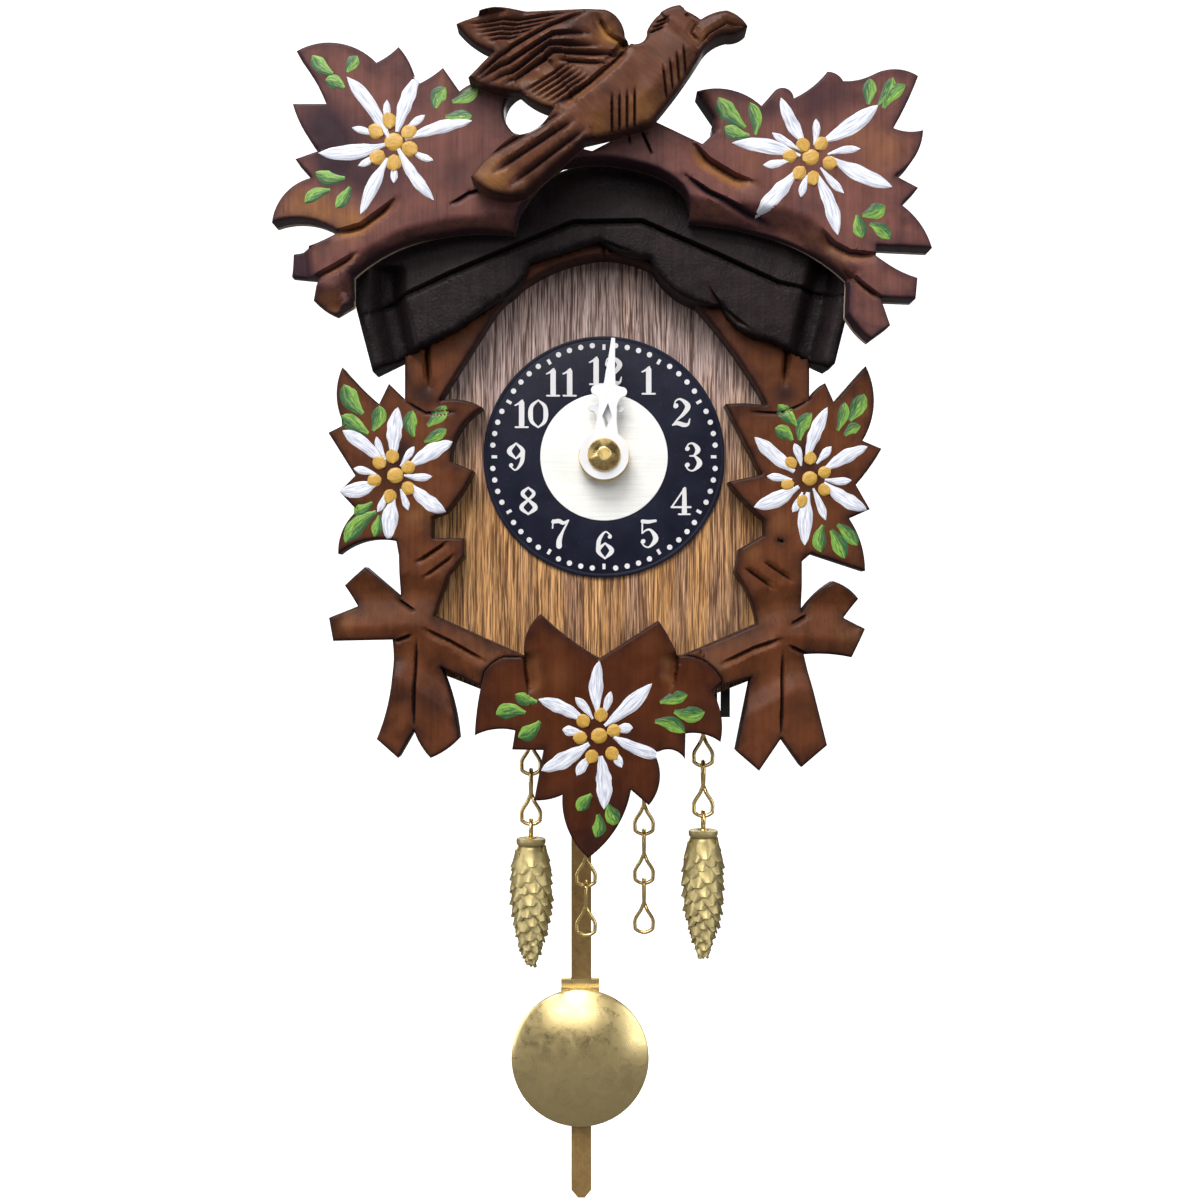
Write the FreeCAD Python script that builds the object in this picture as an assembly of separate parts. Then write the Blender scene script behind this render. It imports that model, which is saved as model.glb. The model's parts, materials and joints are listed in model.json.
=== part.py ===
import FreeCAD, Part
import math
import os

# Miniature carved wall clock with a quartz pendulum movement.
# Millimetres. The origin is the middle of the hanger hole on the wall plane: the wall is y = 0,
# the front faces -Y, +X is to the right seen from the front, and +Z is up.

V = FreeCAD.Vector

# ---- driving dimensions ------------------------------------------------------------------
DIAL_Z = -34.0            # height of the dial's centre
DIAL_R = 20.0             # dial plate radius
BUSH_R = 3.2              # threaded centre bush
CASE_HALF = 32.0          # half the case's width
WALL = 3.0                # side wall thickness
INNER_HALF = CASE_HALF - WALL
BOARD_BACK = -30.0        # back face of the front board
BOARD_FRONT = -34.0       # front face of the front board
SURROUND_T = 5.0          # thickness of the carved surround and the bottom leaf
ARCH_T = 2.4              # thickness of the surround's arch where the fascia laps over it
FASCIA_T = 8.0            # thickness of the gable fascia
CARVING_T = 6.0           # thickness of the crown and of the bird
ROOF_APEX = 13.3          # top of the roof boards at the ridge
ROOF_SLOPE = 0.566        # roof pitch as rise over run
ROOF_T = 3.2              # roof board thickness, measured upright
ROOF_HALF = 39.0          # half the roof's span
FLOOR_LOW = -80.5         # underside of the floor at the middle
FLOOR_SLOPE = 0.39        # the floor's shallow V
FLOOR_T = 3.2

HOUSING_HALF = 28.0       # half the width of the square movement housing
HOUSING_REAR = -11.2      # where the rear cover begins
COVER_REAR = -10.0        # back face of the rear cover
SHELL = 1.2               # wall thickness of the housing

GEAR_MODULE = 0.4
# meshing axles of the motion work are 8 mm apart
MOTION_AXIS = (6.4, DIAL_Z - 4.8)
KNOB_AXIS = (12.8, DIAL_Z - 9.6)
MINUTE_TEETH, MOTION_TEETH, MOTION_PINION_TEETH, HOUR_TEETH = 10, 30, 8, 32
MINUTE_HAND_TURN = 4.5    # degrees past twelve, clockwise
HOUR_HAND_TURN = 2.6

PENDULUM_X = -4.0
PIVOT_Z = -46.5           # pendulum pivot inside the movement
ROD_Y = -12.6             # middle plane of the pendulum rod
ROD_TIP_Z = -164.6
BOB_Z = -139.1
BOB_R = 12.2
BOB_RIM_Y = -14.9         # front edge of the bob's rim
BOB_RISE = 3.0            # how far the middle of the bob stands out before its rim
BOB_SPHERE_R = 26.3
BOB_SHELL = 0.7

WIRE = 0.65               # chain wire diameter
LINK_LENGTH = 9.95
LINK_WIDTH = 4.1
LINK_SLACK = 0.1
LINK_PITCH = LINK_LENGTH - 2 * WIRE - LINK_SLACK

# name: (x, y, height of the first link's top, number of links, carries a cone)
STRANDS = {
    "chain_left": (-12.4, -27.0, -77.7, 2, True),
    "chain_right": (16.9, -27.0, -76.3, 2, True),
    "tail_left": (-3.1, -20.5, -80.8, 4, False),
    "tail_right": (7.0, -20.5, -80.3, 4, False),
}

# ---- carved outlines ---------------------------------------------------------------------
# Each corner is (x, z) or (x, z, bow): bow is how far the run to the next corner arches
# outwards, or inwards where it is negative.
CROWN = [
    (-14.3, 0.8), (-13.7, 3.5, -0.8), (-6.6, 11.5, -0.8), (5.6, 11.2, -0.5), (12.2, 7.9, -0.7),
    (13.5, 2.7, -0.4), (26.1, 0.5, -0.9), (38.7, -6.6), (38.5, -12.4, 0.3), (42.1, -16.6),
    (45.1, -14.4), (43.6, -10), (49.1, -10.2), (49.4, -6.9, -0.4), (42.9, -3.3),
    (42.9, -1.8), (51.7, -2.2, 0.7), (46.9, 4.6), (49.5, 7.3), (45.9, 9.2, 1.1),
    (50.3, 16.4, -0.4), (45.6, 16.7, 0.2), (49.5, 24.9, 1.0), (42.3, 25.1, -0.3), (37.7, 24.1, 0.4),
    (35.2, 25.6, -0.4), (29.9, 21.4, 1.0), (26.9, 22.6), (24.8, 20.2, 1.4), (14.6, 22.5),
    (17.4, 18.4, 0.3), (17.3, 15.9), (15.5, 14.2), (7.5, 18), (-1.9, 13.1), (-14.2, 15.9, -2),
    (-13.4, 22.9), (-19.9, 24, 0.2), (-22.8, 22.5), (-25.4, 26.2, -0.2), (-29.6, 23.5, 0.5),
    (-32.4, 29.5, -0.2), (-35.9, 27, 2.2), (-48.5, 28.8, -0.3), (-43.8, 20.5), (-49.1, 20.5, 0.5),
    (-45, 13.1), (-48.7, 11.8), (-46.1, 8.9, 1.5), (-52.4, 1.8, -1.3), (-42, 0.4, -0.5),
    (-49.6, -2.5), (-49.8, -6.2), (-44.9, -6.7), (-46.1, -10.2, 0.2), (-42.7, -12.4),
    (-40, -10.8), (-40, -6.1, -0.6), (-30.6, -0.6, -0.9),
]
BIRD = [
    (-22.9, 31.4, 0.7), (-14.5, 33.9), (0.1, 33.3, 0.8), (3.2, 29.4, -1.6), (6.6, 30.2, 0.9),
    (11.6, 34, 0.2), (14.9, 32, 0.3), (18.9, 33.3, 0.4), (22.1, 30.8, 0.4), (19, 29.7, -0.4),
    (15.3, 27.3, 0.3), (7.3, 16.4, 0.2), (-3, 13.5), (-12.2, 5.3, 1.5), (-20.6, 7.6, 0.5),
    (-14, 14.2, -0.9), (-7.9, 18.2, 0.4), (-13, 21, 0.5), (-21.1, 23.4, 0.2), (-17.1, 27.3, 0.5),
]
FASCIA = [
    (-40.3, -4.5), (-40.3, -9.7), (-37.4, -20.8), (-24, -14.2), (-16.8, -9.1, 0.9), (-11.9, -3.3),
    (-0.7, 0.3, 0.6), (7.4, -2.5, 2.2), (19, -10.2, 1.3), (26.7, -15.8), (36.2, -20.2),
    (37.3, -19.5), (39.3, -11.5), (41, -5), (31, 2.8), (0, 14.3), (-31, 2.8),
]
ARCH_LEFT = [
    (-32.5, -27), (-32.5, -16.3), (-16.9, -4.1), (0, 3.2), (0, -1.6, -2), (-17.7, -10.6),
    (-27.1, -25.5), (-27.1, -27),
]
ARCH_RIGHT = [
    (33.5, -27), (33.5, -16.3), (15.6, -4.1), (0, 3.2), (0, -1.6, -1.7), (14, -8.6, -0.7),
    (26.5, -25.7), (26.5, -27),
]
LEAF_LEFT = [
    (-42.7, -19.7, -0.2), (-36.7, -25.7), (-35.1, -22.4), (-32.2, -25.2), (-26.7, -25.2, 0.7),
    (-19.8, -26.3, -1.4), (-25, -35.1), (-21.3, -36.6, 0.3), (-25.7, -43.4, -0.5),
    (-33.8, -48.1, -1.2), (-43.4, -50.2, 0.9), (-40.3, -43.1), (-43.2, -40), (-40.6, -37.4),
    (-45, -30.4), (-42.4, -29.1, 1.1),
]
SPRAY_LEFT = [
    (-34.1, -47.1), (-28, -42), (-28, -47.6), (-22.9, -47.6), (-22.8, -50.6), (-25.4, -53.6),
    (-27.8, -60.3), (-12, -67.4), (-18.5, -72.6), (-26.7, -68.7, 0.5), (-23.7, -80.4, 0.3),
    (-28.3, -83.5, 0.3), (-31, -79), (-33.6, -83.5), (-37.1, -80.4, -1), (-34.6, -64.2),
    (-44.2, -64.4), (-44.9, -60.6), (-40.3, -58.7), (-42.4, -55.3), (-39, -52.3), (-33.3, -57.2),
    (-33.5, -50.4),
]
LEAF_RIGHT = [
    (19.8, -25.7, 0.2), (26.3, -25.9), (33.5, -24.9, 0.4), (36.1, -22.3), (37.5, -25.4),
    (42.7, -19.5, 1.6), (42.2, -31.7), (45.3, -33, 0.2), (41.1, -38.9), (43.4, -42.9),
    (40, -44.4, 0.7), (42.6, -53), (33.8, -50.1), (32.3, -51.4, 0.8), (29.1, -48),
    (26.2, -48.1), (26.2, -44.7, 0.3), (20.3, -38.4), (25.7, -37.2),
]
SPRAY_RIGHT = [
    (22.1, -49.4), (21.4, -53.2, -0.6), (25, -61.6), (11.7, -67.3), (16.4, -72.6), (24, -70.4),
    (21.6, -82.4), (25.3, -85.6), (28.9, -80.3), (32.2, -85), (36.4, -81.4), (32.7, -66.6, -0.3),
    (40.5, -67.1), (42.6, -62.4), (39.2, -60.6), (41.6, -57.5, 0.4), (37.4, -54.6, 0.4),
    (32.3, -59.6), (32.3, -49.6), (26, -47.1),
]
BOTTOM_LEAF = [
    (-21.1, -79.8, 0.3), (-19.5, -69.4, 0.3), (-16.4, -67), (-13, -67, 1), (-10.4, -60, -0.4),
    (-0.7, -67.3), (8.9, -61.1, 0.2), (12, -66.8, 1.4), (19.3, -71), (17.7, -72.6, 0.8),
    (19, -80.9, -0.6), (13.3, -79.5), (13.2, -83.7, -1.2), (8.3, -82.9, 1.3), (7.3, -91.2),
    (4.4, -88.7, 1.3), (-2.6, -99.8, 1.3), (-6.8, -89.5, 0.3), (-11.4, -90.4), (-9.9, -82.2),
    (-15, -82.1), (-14.5, -79, -0.6),
]

PARTS = {}


# ---- shape helpers -----------------------------------------------------------------------
def block(x0, x1, y0, y1, z0, z1):
    """A box between two corners."""
    return Part.makeBox(x1 - x0, y1 - y0, z1 - z0, V(x0, y0, z0))


def rod_y(radius, y0, y1, x=0.0, z=DIAL_Z):
    """A round bar along Y, by default on the dial's axis."""
    return Part.makeCylinder(radius, y1 - y0, V(x, y0, z), V(0, 1, 0))


def rod_z(radius, z0, z1, x, y):
    """An upright round bar."""
    return Part.makeCylinder(radius, z1 - z0, V(x, y, z0), V(0, 0, 1))


def outline_wire(corners, y):
    """A closed wire in the plane at y through corners (x, z, bow)."""
    rows = [(c[0], c[1], c[2] if len(c) > 2 else 0.0) for c in corners]
    following = rows[1:] + rows[:1]
    twice_area = sum(a[0] * b[1] - b[0] * a[1] for a, b in zip(rows, following))
    outward = 1.0 if twice_area < 0 else -1.0
    edges = []
    for (x0, z0, bow), (x1, z1, _) in zip(rows, following):
        start, end = V(x0, y, z0), V(x1, y, z1)
        if bow:
            along = (end - start).normalize()
            normal = V(-along.z, 0, along.x) * outward
            middle = (start + end) * 0.5 + normal * bow
            edges.append(Part.Arc(start, middle, end).toShape())
        else:
            edges.append(Part.makeLine(start, end))
    return Part.Wire(edges)


def plate(corners, y_back, thickness):
    """A flat piece of the given outline, from y_back forwards."""
    face = Part.Face(outline_wire(corners, y_back))
    return face.extrude(V(0, -thickness, 0))


def lathe(profile, x, y):
    """A turned piece about the upright line at (x, y), from (radius, z) points."""
    points = [V(x + r, y, z) for r, z in profile]
    face = Part.Face(Part.makePolygon(points + points[:1]))
    return face.revolve(V(x, y, 0), V(0, 0, 1), 360)


def mirrored(corners):
    return [(-c[0],) + tuple(c[1:]) for c in corners]


def gear_wire(teeth, module, y, phase):
    """An involute gear's outline about the origin, with its first tooth at the phase angle."""
    pressure = math.radians(20)
    backlash = 0.05
    pitch_r = module * teeth / 2
    base_r = pitch_r * math.cos(pressure)
    tip_r = pitch_r + 0.85 * module
    root_r = pitch_r - 1.25 * module
    involute = math.tan(pressure) - pressure
    half_tooth = math.pi / 2 / teeth - backlash / 2 / pitch_r

    def half_angle(r):
        turn = math.acos(min(1.0, base_r / r))
        return half_tooth + involute - (math.tan(turn) - turn)

    start_r = max(base_r, root_r)
    flank = [start_r + (tip_r - start_r) * i / 3 for i in range(4)]
    profile = [(root_r, half_angle(start_r))] if root_r < base_r else []
    profile += [(r, half_angle(r)) for r in flank]
    points = []
    for tooth in range(teeth):
        middle = phase + 2 * math.pi * tooth / teeth
        side = [(r, middle - a) for r, a in profile] + [(r, middle + a) for r, a in profile[::-1]]
        points += [V(r * math.cos(a), y, r * math.sin(a)) for r, a in side]
    return Part.makePolygon(points + points[:1])


def gear(teeth, y0, y1, axis, phase):
    face = Part.Face(gear_wire(teeth, GEAR_MODULE, y0, phase))
    wheel = face.extrude(V(0, y1 - y0, 0))
    wheel.translate(V(axis[0], 0, axis[1]))
    return wheel


# ---- case --------------------------------------------------------------------------------
def roof_under(x):
    return ROOF_APEX - ROOF_T - ROOF_SLOPE * abs(x)


def floor_under(x):
    return FLOOR_LOW + FLOOR_SLOPE * abs(x)


def hook_stem_x(x):
    """The chain bar's prong stands just right of the strand that it carries."""
    return x + 1.65


def make_case():
    depth = -BOARD_BACK
    half_front = [
        (0, floor_under(0)), (CASE_HALF, floor_under(CASE_HALF)),
        (CASE_HALF, roof_under(CASE_HALF)), (0, roof_under(0)),
    ]
    front = half_front + mirrored(half_front[1:3])[::-1]
    board = plate(front, BOARD_BACK, BOARD_BACK - BOARD_FRONT)
    PARTS["front_board"] = board.cut(rod_y(BUSH_R + 0.3, BOARD_FRONT - 1, BOARD_BACK + 1))

    wall = [
        (INNER_HALF, floor_under(INNER_HALF)), (CASE_HALF, floor_under(CASE_HALF)),
        (CASE_HALF, roof_under(CASE_HALF)), (INNER_HALF, roof_under(INNER_HALF)),
    ]
    roof = [
        (0, ROOF_APEX - ROOF_T), (ROOF_HALF, roof_under(ROOF_HALF)),
        (ROOF_HALF, roof_under(ROOF_HALF) + ROOF_T), (0, ROOF_APEX),
    ]
    floor = [
        (0, floor_under(0)), (INNER_HALF, floor_under(INNER_HALF)),
        (INNER_HALF, floor_under(INNER_HALF) + FLOOR_T), (0, floor_under(0) + FLOOR_T),
    ]
    openings = [block(-11.0, 3.0, -15.5, -9.5, -90, -60)]
    for x, y, _, _, _ in list(STRANDS.values()) + [(19.0, -27.0, 0, 0, 0)]:
        stem = hook_stem_x(x)
        openings.append(block(stem - 1.2, stem + 1.2, y - 1.2, y + 1.2, -90, -60))
    for side, turned in (("left", mirrored), ("right", list)):
        PARTS["side_wall_" + side] = plate(turned(wall), 0, depth)
        PARTS["roof_board_" + side] = plate(turned(roof), 0, -BOARD_FRONT)
        boards = plate(turned(floor), 0, depth)
        for opening in openings:
            boards = boards.cut(opening)
        PARTS["floor_" + side] = boards

    gable = [
        (-INNER_HALF, -6.8), (-INNER_HALF, roof_under(INNER_HALF)), (0, roof_under(0)),
        (INNER_HALF, roof_under(INNER_HALF)), (INNER_HALF, -6.8),
    ]
    panel = plate(gable, -1.0, 6.0)
    PARTS["gable_panel"] = panel.cut(rod_y(5.5, -8, 0, z=0))


def make_hanger_and_screws():
    strip = [(-10, -4.5), (-10, 3.4), (10, 3.4), (10, -4.5)]
    hanger = plate(strip, 0, 1.0)
    hanger = hanger.cut(rod_y(3.0, -2, 1, z=0))
    screws = []
    sites = [(-7.8, -0.6, 0.0), (7.8, -0.6, 0.0)]
    sites += [(x, z, COVER_REAR) for x in (-25.6, 25.6) for z in (-26.2, -59.4)]
    for x, z, y in sites:
        thread_hole = rod_y(0.9, y - 5.0, y + 0.1, x, z)
        hanger = hanger.cut(thread_hole)
        PARTS["gable_panel"] = PARTS["gable_panel"].cut(thread_hole)
        head = rod_y(1.7, y, y + 0.8, x, z)
        slot = block(x - 2, x + 2, y + 0.45, y + 1, z - 0.22, z + 0.22)
        screws.append(head.cut(slot).fuse(rod_y(0.9, y - 5.0, y, x, z)))
    PARTS["hanger_plate"] = hanger
    PARTS["fixing_screws"] = Part.makeCompound(screws)
    return [(x, z) for x, z, y in sites if y == COVER_REAR]


# ---- carvings ----------------------------------------------------------------------------
def make_carvings():
    fascia_front = BOARD_FRONT - FASCIA_T
    fascia = plate(FASCIA, BOARD_FRONT, FASCIA_T)
    leaf = plate(BOTTOM_LEAF, BOARD_FRONT, SURROUND_T)
    sides = {"left": (ARCH_LEFT, LEAF_LEFT, SPRAY_LEFT), "right": (ARCH_RIGHT, LEAF_RIGHT, SPRAY_RIGHT)}
    for side, pieces in sides.items():
        arch = plate(pieces[0], BOARD_FRONT, ARCH_T)
        shapes = [plate(piece, BOARD_FRONT, SURROUND_T).cut(fascia).cut(leaf) for piece in pieces]
        PARTS["surround_" + side] = arch.fuse(shapes).removeSplitter()
        fascia = fascia.cut(arch)
    PARTS["gable_fascia"] = fascia
    PARTS["bottom_leaf"] = leaf
    PARTS["crown_carving"] = plate(CROWN, fascia_front, CARVING_T)
    PARTS["bird_carving"] = plate(BIRD, fascia_front - CARVING_T, CARVING_T)


# ---- dial and hands ----------------------------------------------------------------------
def both_sides(half):
    """A closed outline from its right side, listed downwards, and the mirror image of that side."""
    rows = [(c[0], c[1], c[2] if len(c) > 2 else 0.0) for c in half]
    left = [(-x, z, rows[i - 1][2] if i else 0.0) for i, (x, z, _) in enumerate(rows)]
    return rows + left[::-1]


def hand(y0, thickness, blade, hole_r, turn):
    """A hand with a round hub, a lobed blade pointing up and a diamond slot, then turned."""
    half = [
        (0.3, 19.1 * blade), (0.62, 15.0 * blade), (0.95, 11.6 * blade, -0.1),
        (2.3, 11.2 * blade, 0.7), (2.2, 9.6 * blade, -0.3), (1.55, 7.5 * blade, -0.2), (2.2, 3.0),
    ]
    diamond = [(0, 8.4 * blade), (0.8, 6.3 * blade), (0, 4.35), (-0.8, 6.3 * blade)]
    blank = plate(both_sides(half), y0, -thickness)
    body = blank.fuse(Part.makeCylinder(4.05, thickness, V(0, y0, 0), V(0, 1, 0)))
    body = body.cut(plate(diamond, y0 - 1, -thickness - 2))
    body = body.cut(Part.makeCylinder(hole_r, 4, V(0, y0 - 2, 0), V(0, 1, 0)))
    body.rotate(V(0, 0, 0), V(0, 1, 0), turn)
    body.translate(V(0, 0, DIAL_Z))
    return body.removeSplitter()


def make_dial_and_hands():
    dial = rod_y(DIAL_R, BOARD_FRONT - 0.6, BOARD_FRONT)
    PARTS["dial_plate"] = dial.cut(rod_y(BUSH_R + 0.1, -36, -33))
    bush = rod_y(BUSH_R, -36.6, BOARD_BACK + SHELL)
    PARTS["centre_bush"] = bush.cut(rod_y(2.6, -38, -28))
    nut = rod_y(4.2, -36.3, BOARD_FRONT - 0.6)
    PARTS["dial_nut"] = nut.cut(rod_y(BUSH_R, -38, -33))
    PARTS["hour_hand"] = hand(-37.6, 0.6, 0.74, 2.5, HOUR_HAND_TURN)
    PARTS["minute_hand"] = hand(-38.8, 0.6, 1.0, 1.15, MINUTE_HAND_TURN)
    cap = Part.makeCone(1.1, 2.7, 1.7, V(0, -40.8, DIAL_Z), V(0, 1, 0))
    cap = cap.fuse(rod_y(2.7, -39.1, -38.8))
    PARTS["hand_nut"] = cap.cut(rod_y(1.15, -39.9, -38)).removeSplitter()


# ---- movement ----------------------------------------------------------------------------
def make_motion_work():
    """Minute pinion, motion wheel, hour wheel and setting knob: twelve turns to one."""
    line = math.atan2(MOTION_AXIS[1] - DIAL_Z, MOTION_AXIS[0])
    opposite = line + math.pi
    arbor = rod_y(1.15, -39.9, -25.9).fuse(rod_y(0.8, -25.9, -10.6))
    PARTS["minute_arbor"] = arbor.fuse(gear(MINUTE_TEETH, -27.1, -26.1, (0, DIAL_Z), line))
    gap = math.pi / MOTION_TEETH
    wheel = gear(MOTION_TEETH, -27.0, -26.2, MOTION_AXIS, opposite + gap)
    pinion_gap = math.pi / MOTION_PINION_TEETH
    wheel = wheel.fuse(gear(MOTION_PINION_TEETH, -28.3, -27.0, MOTION_AXIS, opposite + pinion_gap))
    PARTS["motion_wheel"] = wheel.cut(rod_y(0.65, -29, -26, *MOTION_AXIS))
    hour = gear(HOUR_TEETH, -28.3, -27.4, (0, DIAL_Z), line)
    hour = hour.fuse(rod_y(2.5, -37.7, -27.4))
    PARTS["hour_wheel"] = hour.cut(rod_y(1.25, -39, -27))
    # the motion wheel turns a gap towards each of the two pinions, which lie half a turn apart
    stem = rod_y(0.6, -28.4, -27.1, *KNOB_AXIS).fuse(rod_y(1.5, -26.1, -8.8, *KNOB_AXIS))
    knob = stem.fuse(gear(MINUTE_TEETH, -27.1, -26.1, KNOB_AXIS, opposite))
    head = rod_y(5.0, -8.8, -5.6, *KNOB_AXIS)
    for i in range(18):
        angle = math.radians(20 * i)
        x, z = KNOB_AXIS[0] + 5.05 * math.cos(angle), KNOB_AXIS[1] + 5.05 * math.sin(angle)
        head = head.cut(rod_y(0.45, -9, -5, x, z))
    PARTS["setting_knob"] = knob.fuse(head)


def make_housing(screw_sites):
    low, high = DIAL_Z - HOUSING_HALF, DIAL_Z + HOUSING_HALF
    inner = HOUSING_HALF - SHELL
    front_inside = BOARD_BACK + SHELL
    shell = block(-HOUSING_HALF, HOUSING_HALF, BOARD_BACK, HOUSING_REAR, low, high)
    shell = shell.cut(block(-inner, inner, front_inside, HOUSING_REAR + 1, low + SHELL, -24.0))
    shell = shell.cut(block(-inner, inner, front_inside, HOUSING_REAR + 1, -22.8, high - SHELL))
    shell = shell.cut(block(-9.0, 1.0, -15.4, HOUSING_REAR + 1, low - 1, low + 2))
    shell = shell.fuse(rod_y(0.6, front_inside, -25.4, *MOTION_AXIS))
    socket = rod_y(1.5, front_inside, -27.4, *KNOB_AXIS)
    shell = shell.fuse(socket).cut(rod_y(0.65, -28.5, -27, *KNOB_AXIS))
    shell = shell.cut(rod_y(BUSH_R, -31, -28))
    for x, z in screw_sites:
        shell = shell.fuse(rod_y(1.6, front_inside, HOUSING_REAR, x, z))
    PARTS["movement_housing"] = shell

    cover = block(-HOUSING_HALF, HOUSING_HALF, HOUSING_REAR, COVER_REAR, low, high)
    cover = cover.cut(block(-inner, inner, -12, -9, -22.8, high - SHELL))
    cover = cover.cut(rod_y(1.6, -12, -9, *KNOB_AXIS)).cut(rod_y(0.9, -12, -9))
    cover = cover.cut(rod_y(0.6, -12, -9, PENDULUM_X, PIVOT_Z))
    for x, z in screw_sites:
        hole = rod_y(0.9, COVER_REAR - 5.0, COVER_REAR + 1, x, z)
        cover = cover.cut(hole)
        PARTS["movement_housing"] = PARTS["movement_housing"].cut(hole)
    PARTS["rear_cover"] = cover


def make_electrics():
    PARTS["circuit_board"] = block(-25.5, -10.0, -13.6, -12.6, -57.5, -28.0)
    rotor_axis = (-14.0, -44.0)
    stator = block(-22.6, -10.0, -18.5, -17.5, -54, -34)
    stator = stator.cut(block(-21.4, -18.4, -20, -16, -51, -37))
    stator = stator.cut(rod_y(2.3, -20, -16, *rotor_axis))
    PARTS["stator"] = stator
    coil = rod_z(3.2, -50.5, -37.5, -22.0, -18.0)
    PARTS["drive_coil"] = coil.cut(rod_z(0.85, -52, -36, -22.0, -18.0))
    rotor = rod_y(1.9, -19.5, -16.5, *rotor_axis).fuse(rod_y(0.3, -28.6, -14.2, *rotor_axis))
    PARTS["rotor"] = rotor.fuse(rod_y(0.8, -23.0, -20.5, *rotor_axis))
    ring = rod_y(4.5, -20.0, -16.4, PENDULUM_X, -56.0)
    PARTS["pendulum_coil"] = ring.cut(rod_y(2.0, -21, -16, PENDULUM_X, -56.0))

    battery_z, battery_y, battery_r = -15.0, -18.7, 7.25
    cell = Part.makeCylinder(battery_r, 49.2, V(-25.2, battery_y, battery_z), V(1, 0, 0))
    nub = Part.makeCylinder(2.75, 1.2, V(24.0, battery_y, battery_z), V(1, 0, 0))
    PARTS["battery"] = cell.fuse(nub).removeSplitter()
    plus = block(26.4, 26.8, -24, -13.4, -20, -10)
    bump = Part.makeCone(1.2, 2.2, 0.8, V(25.6, battery_y, battery_z), V(1, 0, 0))
    PARTS["battery_contact_plus"] = plus.fuse(bump)
    minus = block(-26.8, -26.4, -24, -13.4, -20, -10)
    bent_leaf = [(-26.5, -19.5), (-25.5, -16), (-25.5, -14), (-26.5, -10.5)]
    PARTS["battery_contact_minus"] = minus.fuse(plate(bent_leaf, -16.2, 5.0))


# ---- pendulum ----------------------------------------------------------------------------
def make_pendulum():
    pin = rod_y(0.6, -15.4, COVER_REAR, PENDULUM_X, PIVOT_Z)
    PARTS["pivot_pin"] = pin
    lever = rod_y(2.3, -13.8, -11.6, PENDULUM_X, PIVOT_Z)
    lever = lever.fuse(block(PENDULUM_X - 1.4, PENDULUM_X + 1.4, -13.8, -12.9, -66.5, PIVOT_Z))
    lever = lever.fuse(rod_y(0.8, -12.9, -11.8, PENDULUM_X, -65.0))
    PARTS["pendulum_lever"] = lever.cut(rod_y(0.66, -15, -11, PENDULUM_X, PIVOT_Z))
    PARTS["lever_magnet"] = rod_y(2.8, -15.6, -13.8, PENDULUM_X, -56.0)

    half, shoulder = 1.78, ROD_TIP_Z + 1.4
    blade = [
        (PENDULUM_X - half, shoulder), (PENDULUM_X - half, -64, 0.6), (PENDULUM_X + half, -64),
        (PENDULUM_X + half, shoulder), (PENDULUM_X + 0.6, ROD_TIP_Z), (PENDULUM_X - 0.6, ROD_TIP_Z),
    ]
    strip = plate(blade, ROD_Y + 0.3, 0.6)
    PARTS["pendulum_rod"] = strip.cut(rod_y(0.8, -14, -11, PENDULUM_X, -65.0))

    x = PENDULUM_X - 0.2
    # the bob is a pressed shell, a cap of a sphere, and the clip's boss meets it from inside
    sphere_at = V(x, BOB_RIM_Y + BOB_SPHERE_R - BOB_RISE, BOB_Z)
    outer = Part.makeSphere(BOB_SPHERE_R, sphere_at)
    inner = Part.makeSphere(BOB_SPHERE_R - BOB_SHELL, sphere_at)
    PARTS["pendulum_bob"] = rod_y(BOB_R, -20, BOB_RIM_Y + BOB_SHELL, x, BOB_Z).common(outer).cut(inner)
    clip_front = BOB_RIM_Y + BOB_SHELL
    clip = block(x - 3.4, x + 3.4, clip_front, -11.6, BOB_Z - 3.0, BOB_Z + 13.6)
    clip = clip.fuse(rod_y(2.6, -18, clip_front, x, BOB_Z).common(inner))
    clip = clip.cut(block(-10, 2, -15, -13.0, BOB_Z + 12.4, BOB_Z + 14))
    channel_half = half + 0.06
    channel = block(
        PENDULUM_X - channel_half, PENDULUM_X + channel_half, -12.96, -12.24, BOB_Z - 5, BOB_Z + 15
    )
    PARTS["bob_clip"] = clip.cut(channel)


# ---- chains and cones --------------------------------------------------------------------
def wire_loop(reach, width=LINK_WIDTH):
    """A teardrop loop of wire hanging from the origin in the XZ plane, down to -reach."""
    wire_r = WIRE / 2
    round_r = width / 2 - wire_r
    centre_z = -(reach - wire_r - round_r)
    neck = 0.3
    run = math.hypot(neck, centre_z)
    lean = math.atan2(neck, -centre_z) + math.acos(min(1.0, round_r / run))
    side = V(round_r * math.sin(lean), 0, centre_z + round_r * math.cos(lean))
    other = V(-side.x, 0, side.z)
    path = Part.Wire([
        Part.makeLine(V(neck, 0, 0), side),
        Part.Arc(side, V(0, 0, centre_z - round_r), other).toShape(),
        Part.makeLine(other, V(-neck, 0, 0)),
    ])
    along = (side - V(neck, 0, 0)).normalize()
    section = Part.Wire(Part.makeCircle(wire_r, V(neck, 0, 0), along))
    return path.makePipeShell([section], True, False)


def make_link(x, y, top):
    """One jack-chain link: its upper loop lies front to back, its lower loop faces the front."""
    lower = wire_loop(LINK_LENGTH / 2)
    upper = lower.copy()
    upper.rotate(V(0, 0, 0), V(1, 0, 0), 180)
    upper.rotate(V(0, 0, 0), V(0, 0, 1), 90)
    collar = Part.makeCylinder(0.72, 0.9, V(0, 0, -0.45))
    link = lower.fuse([upper, collar])
    link.translate(V(x, y, top - LINK_LENGTH / 2))
    return link


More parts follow.
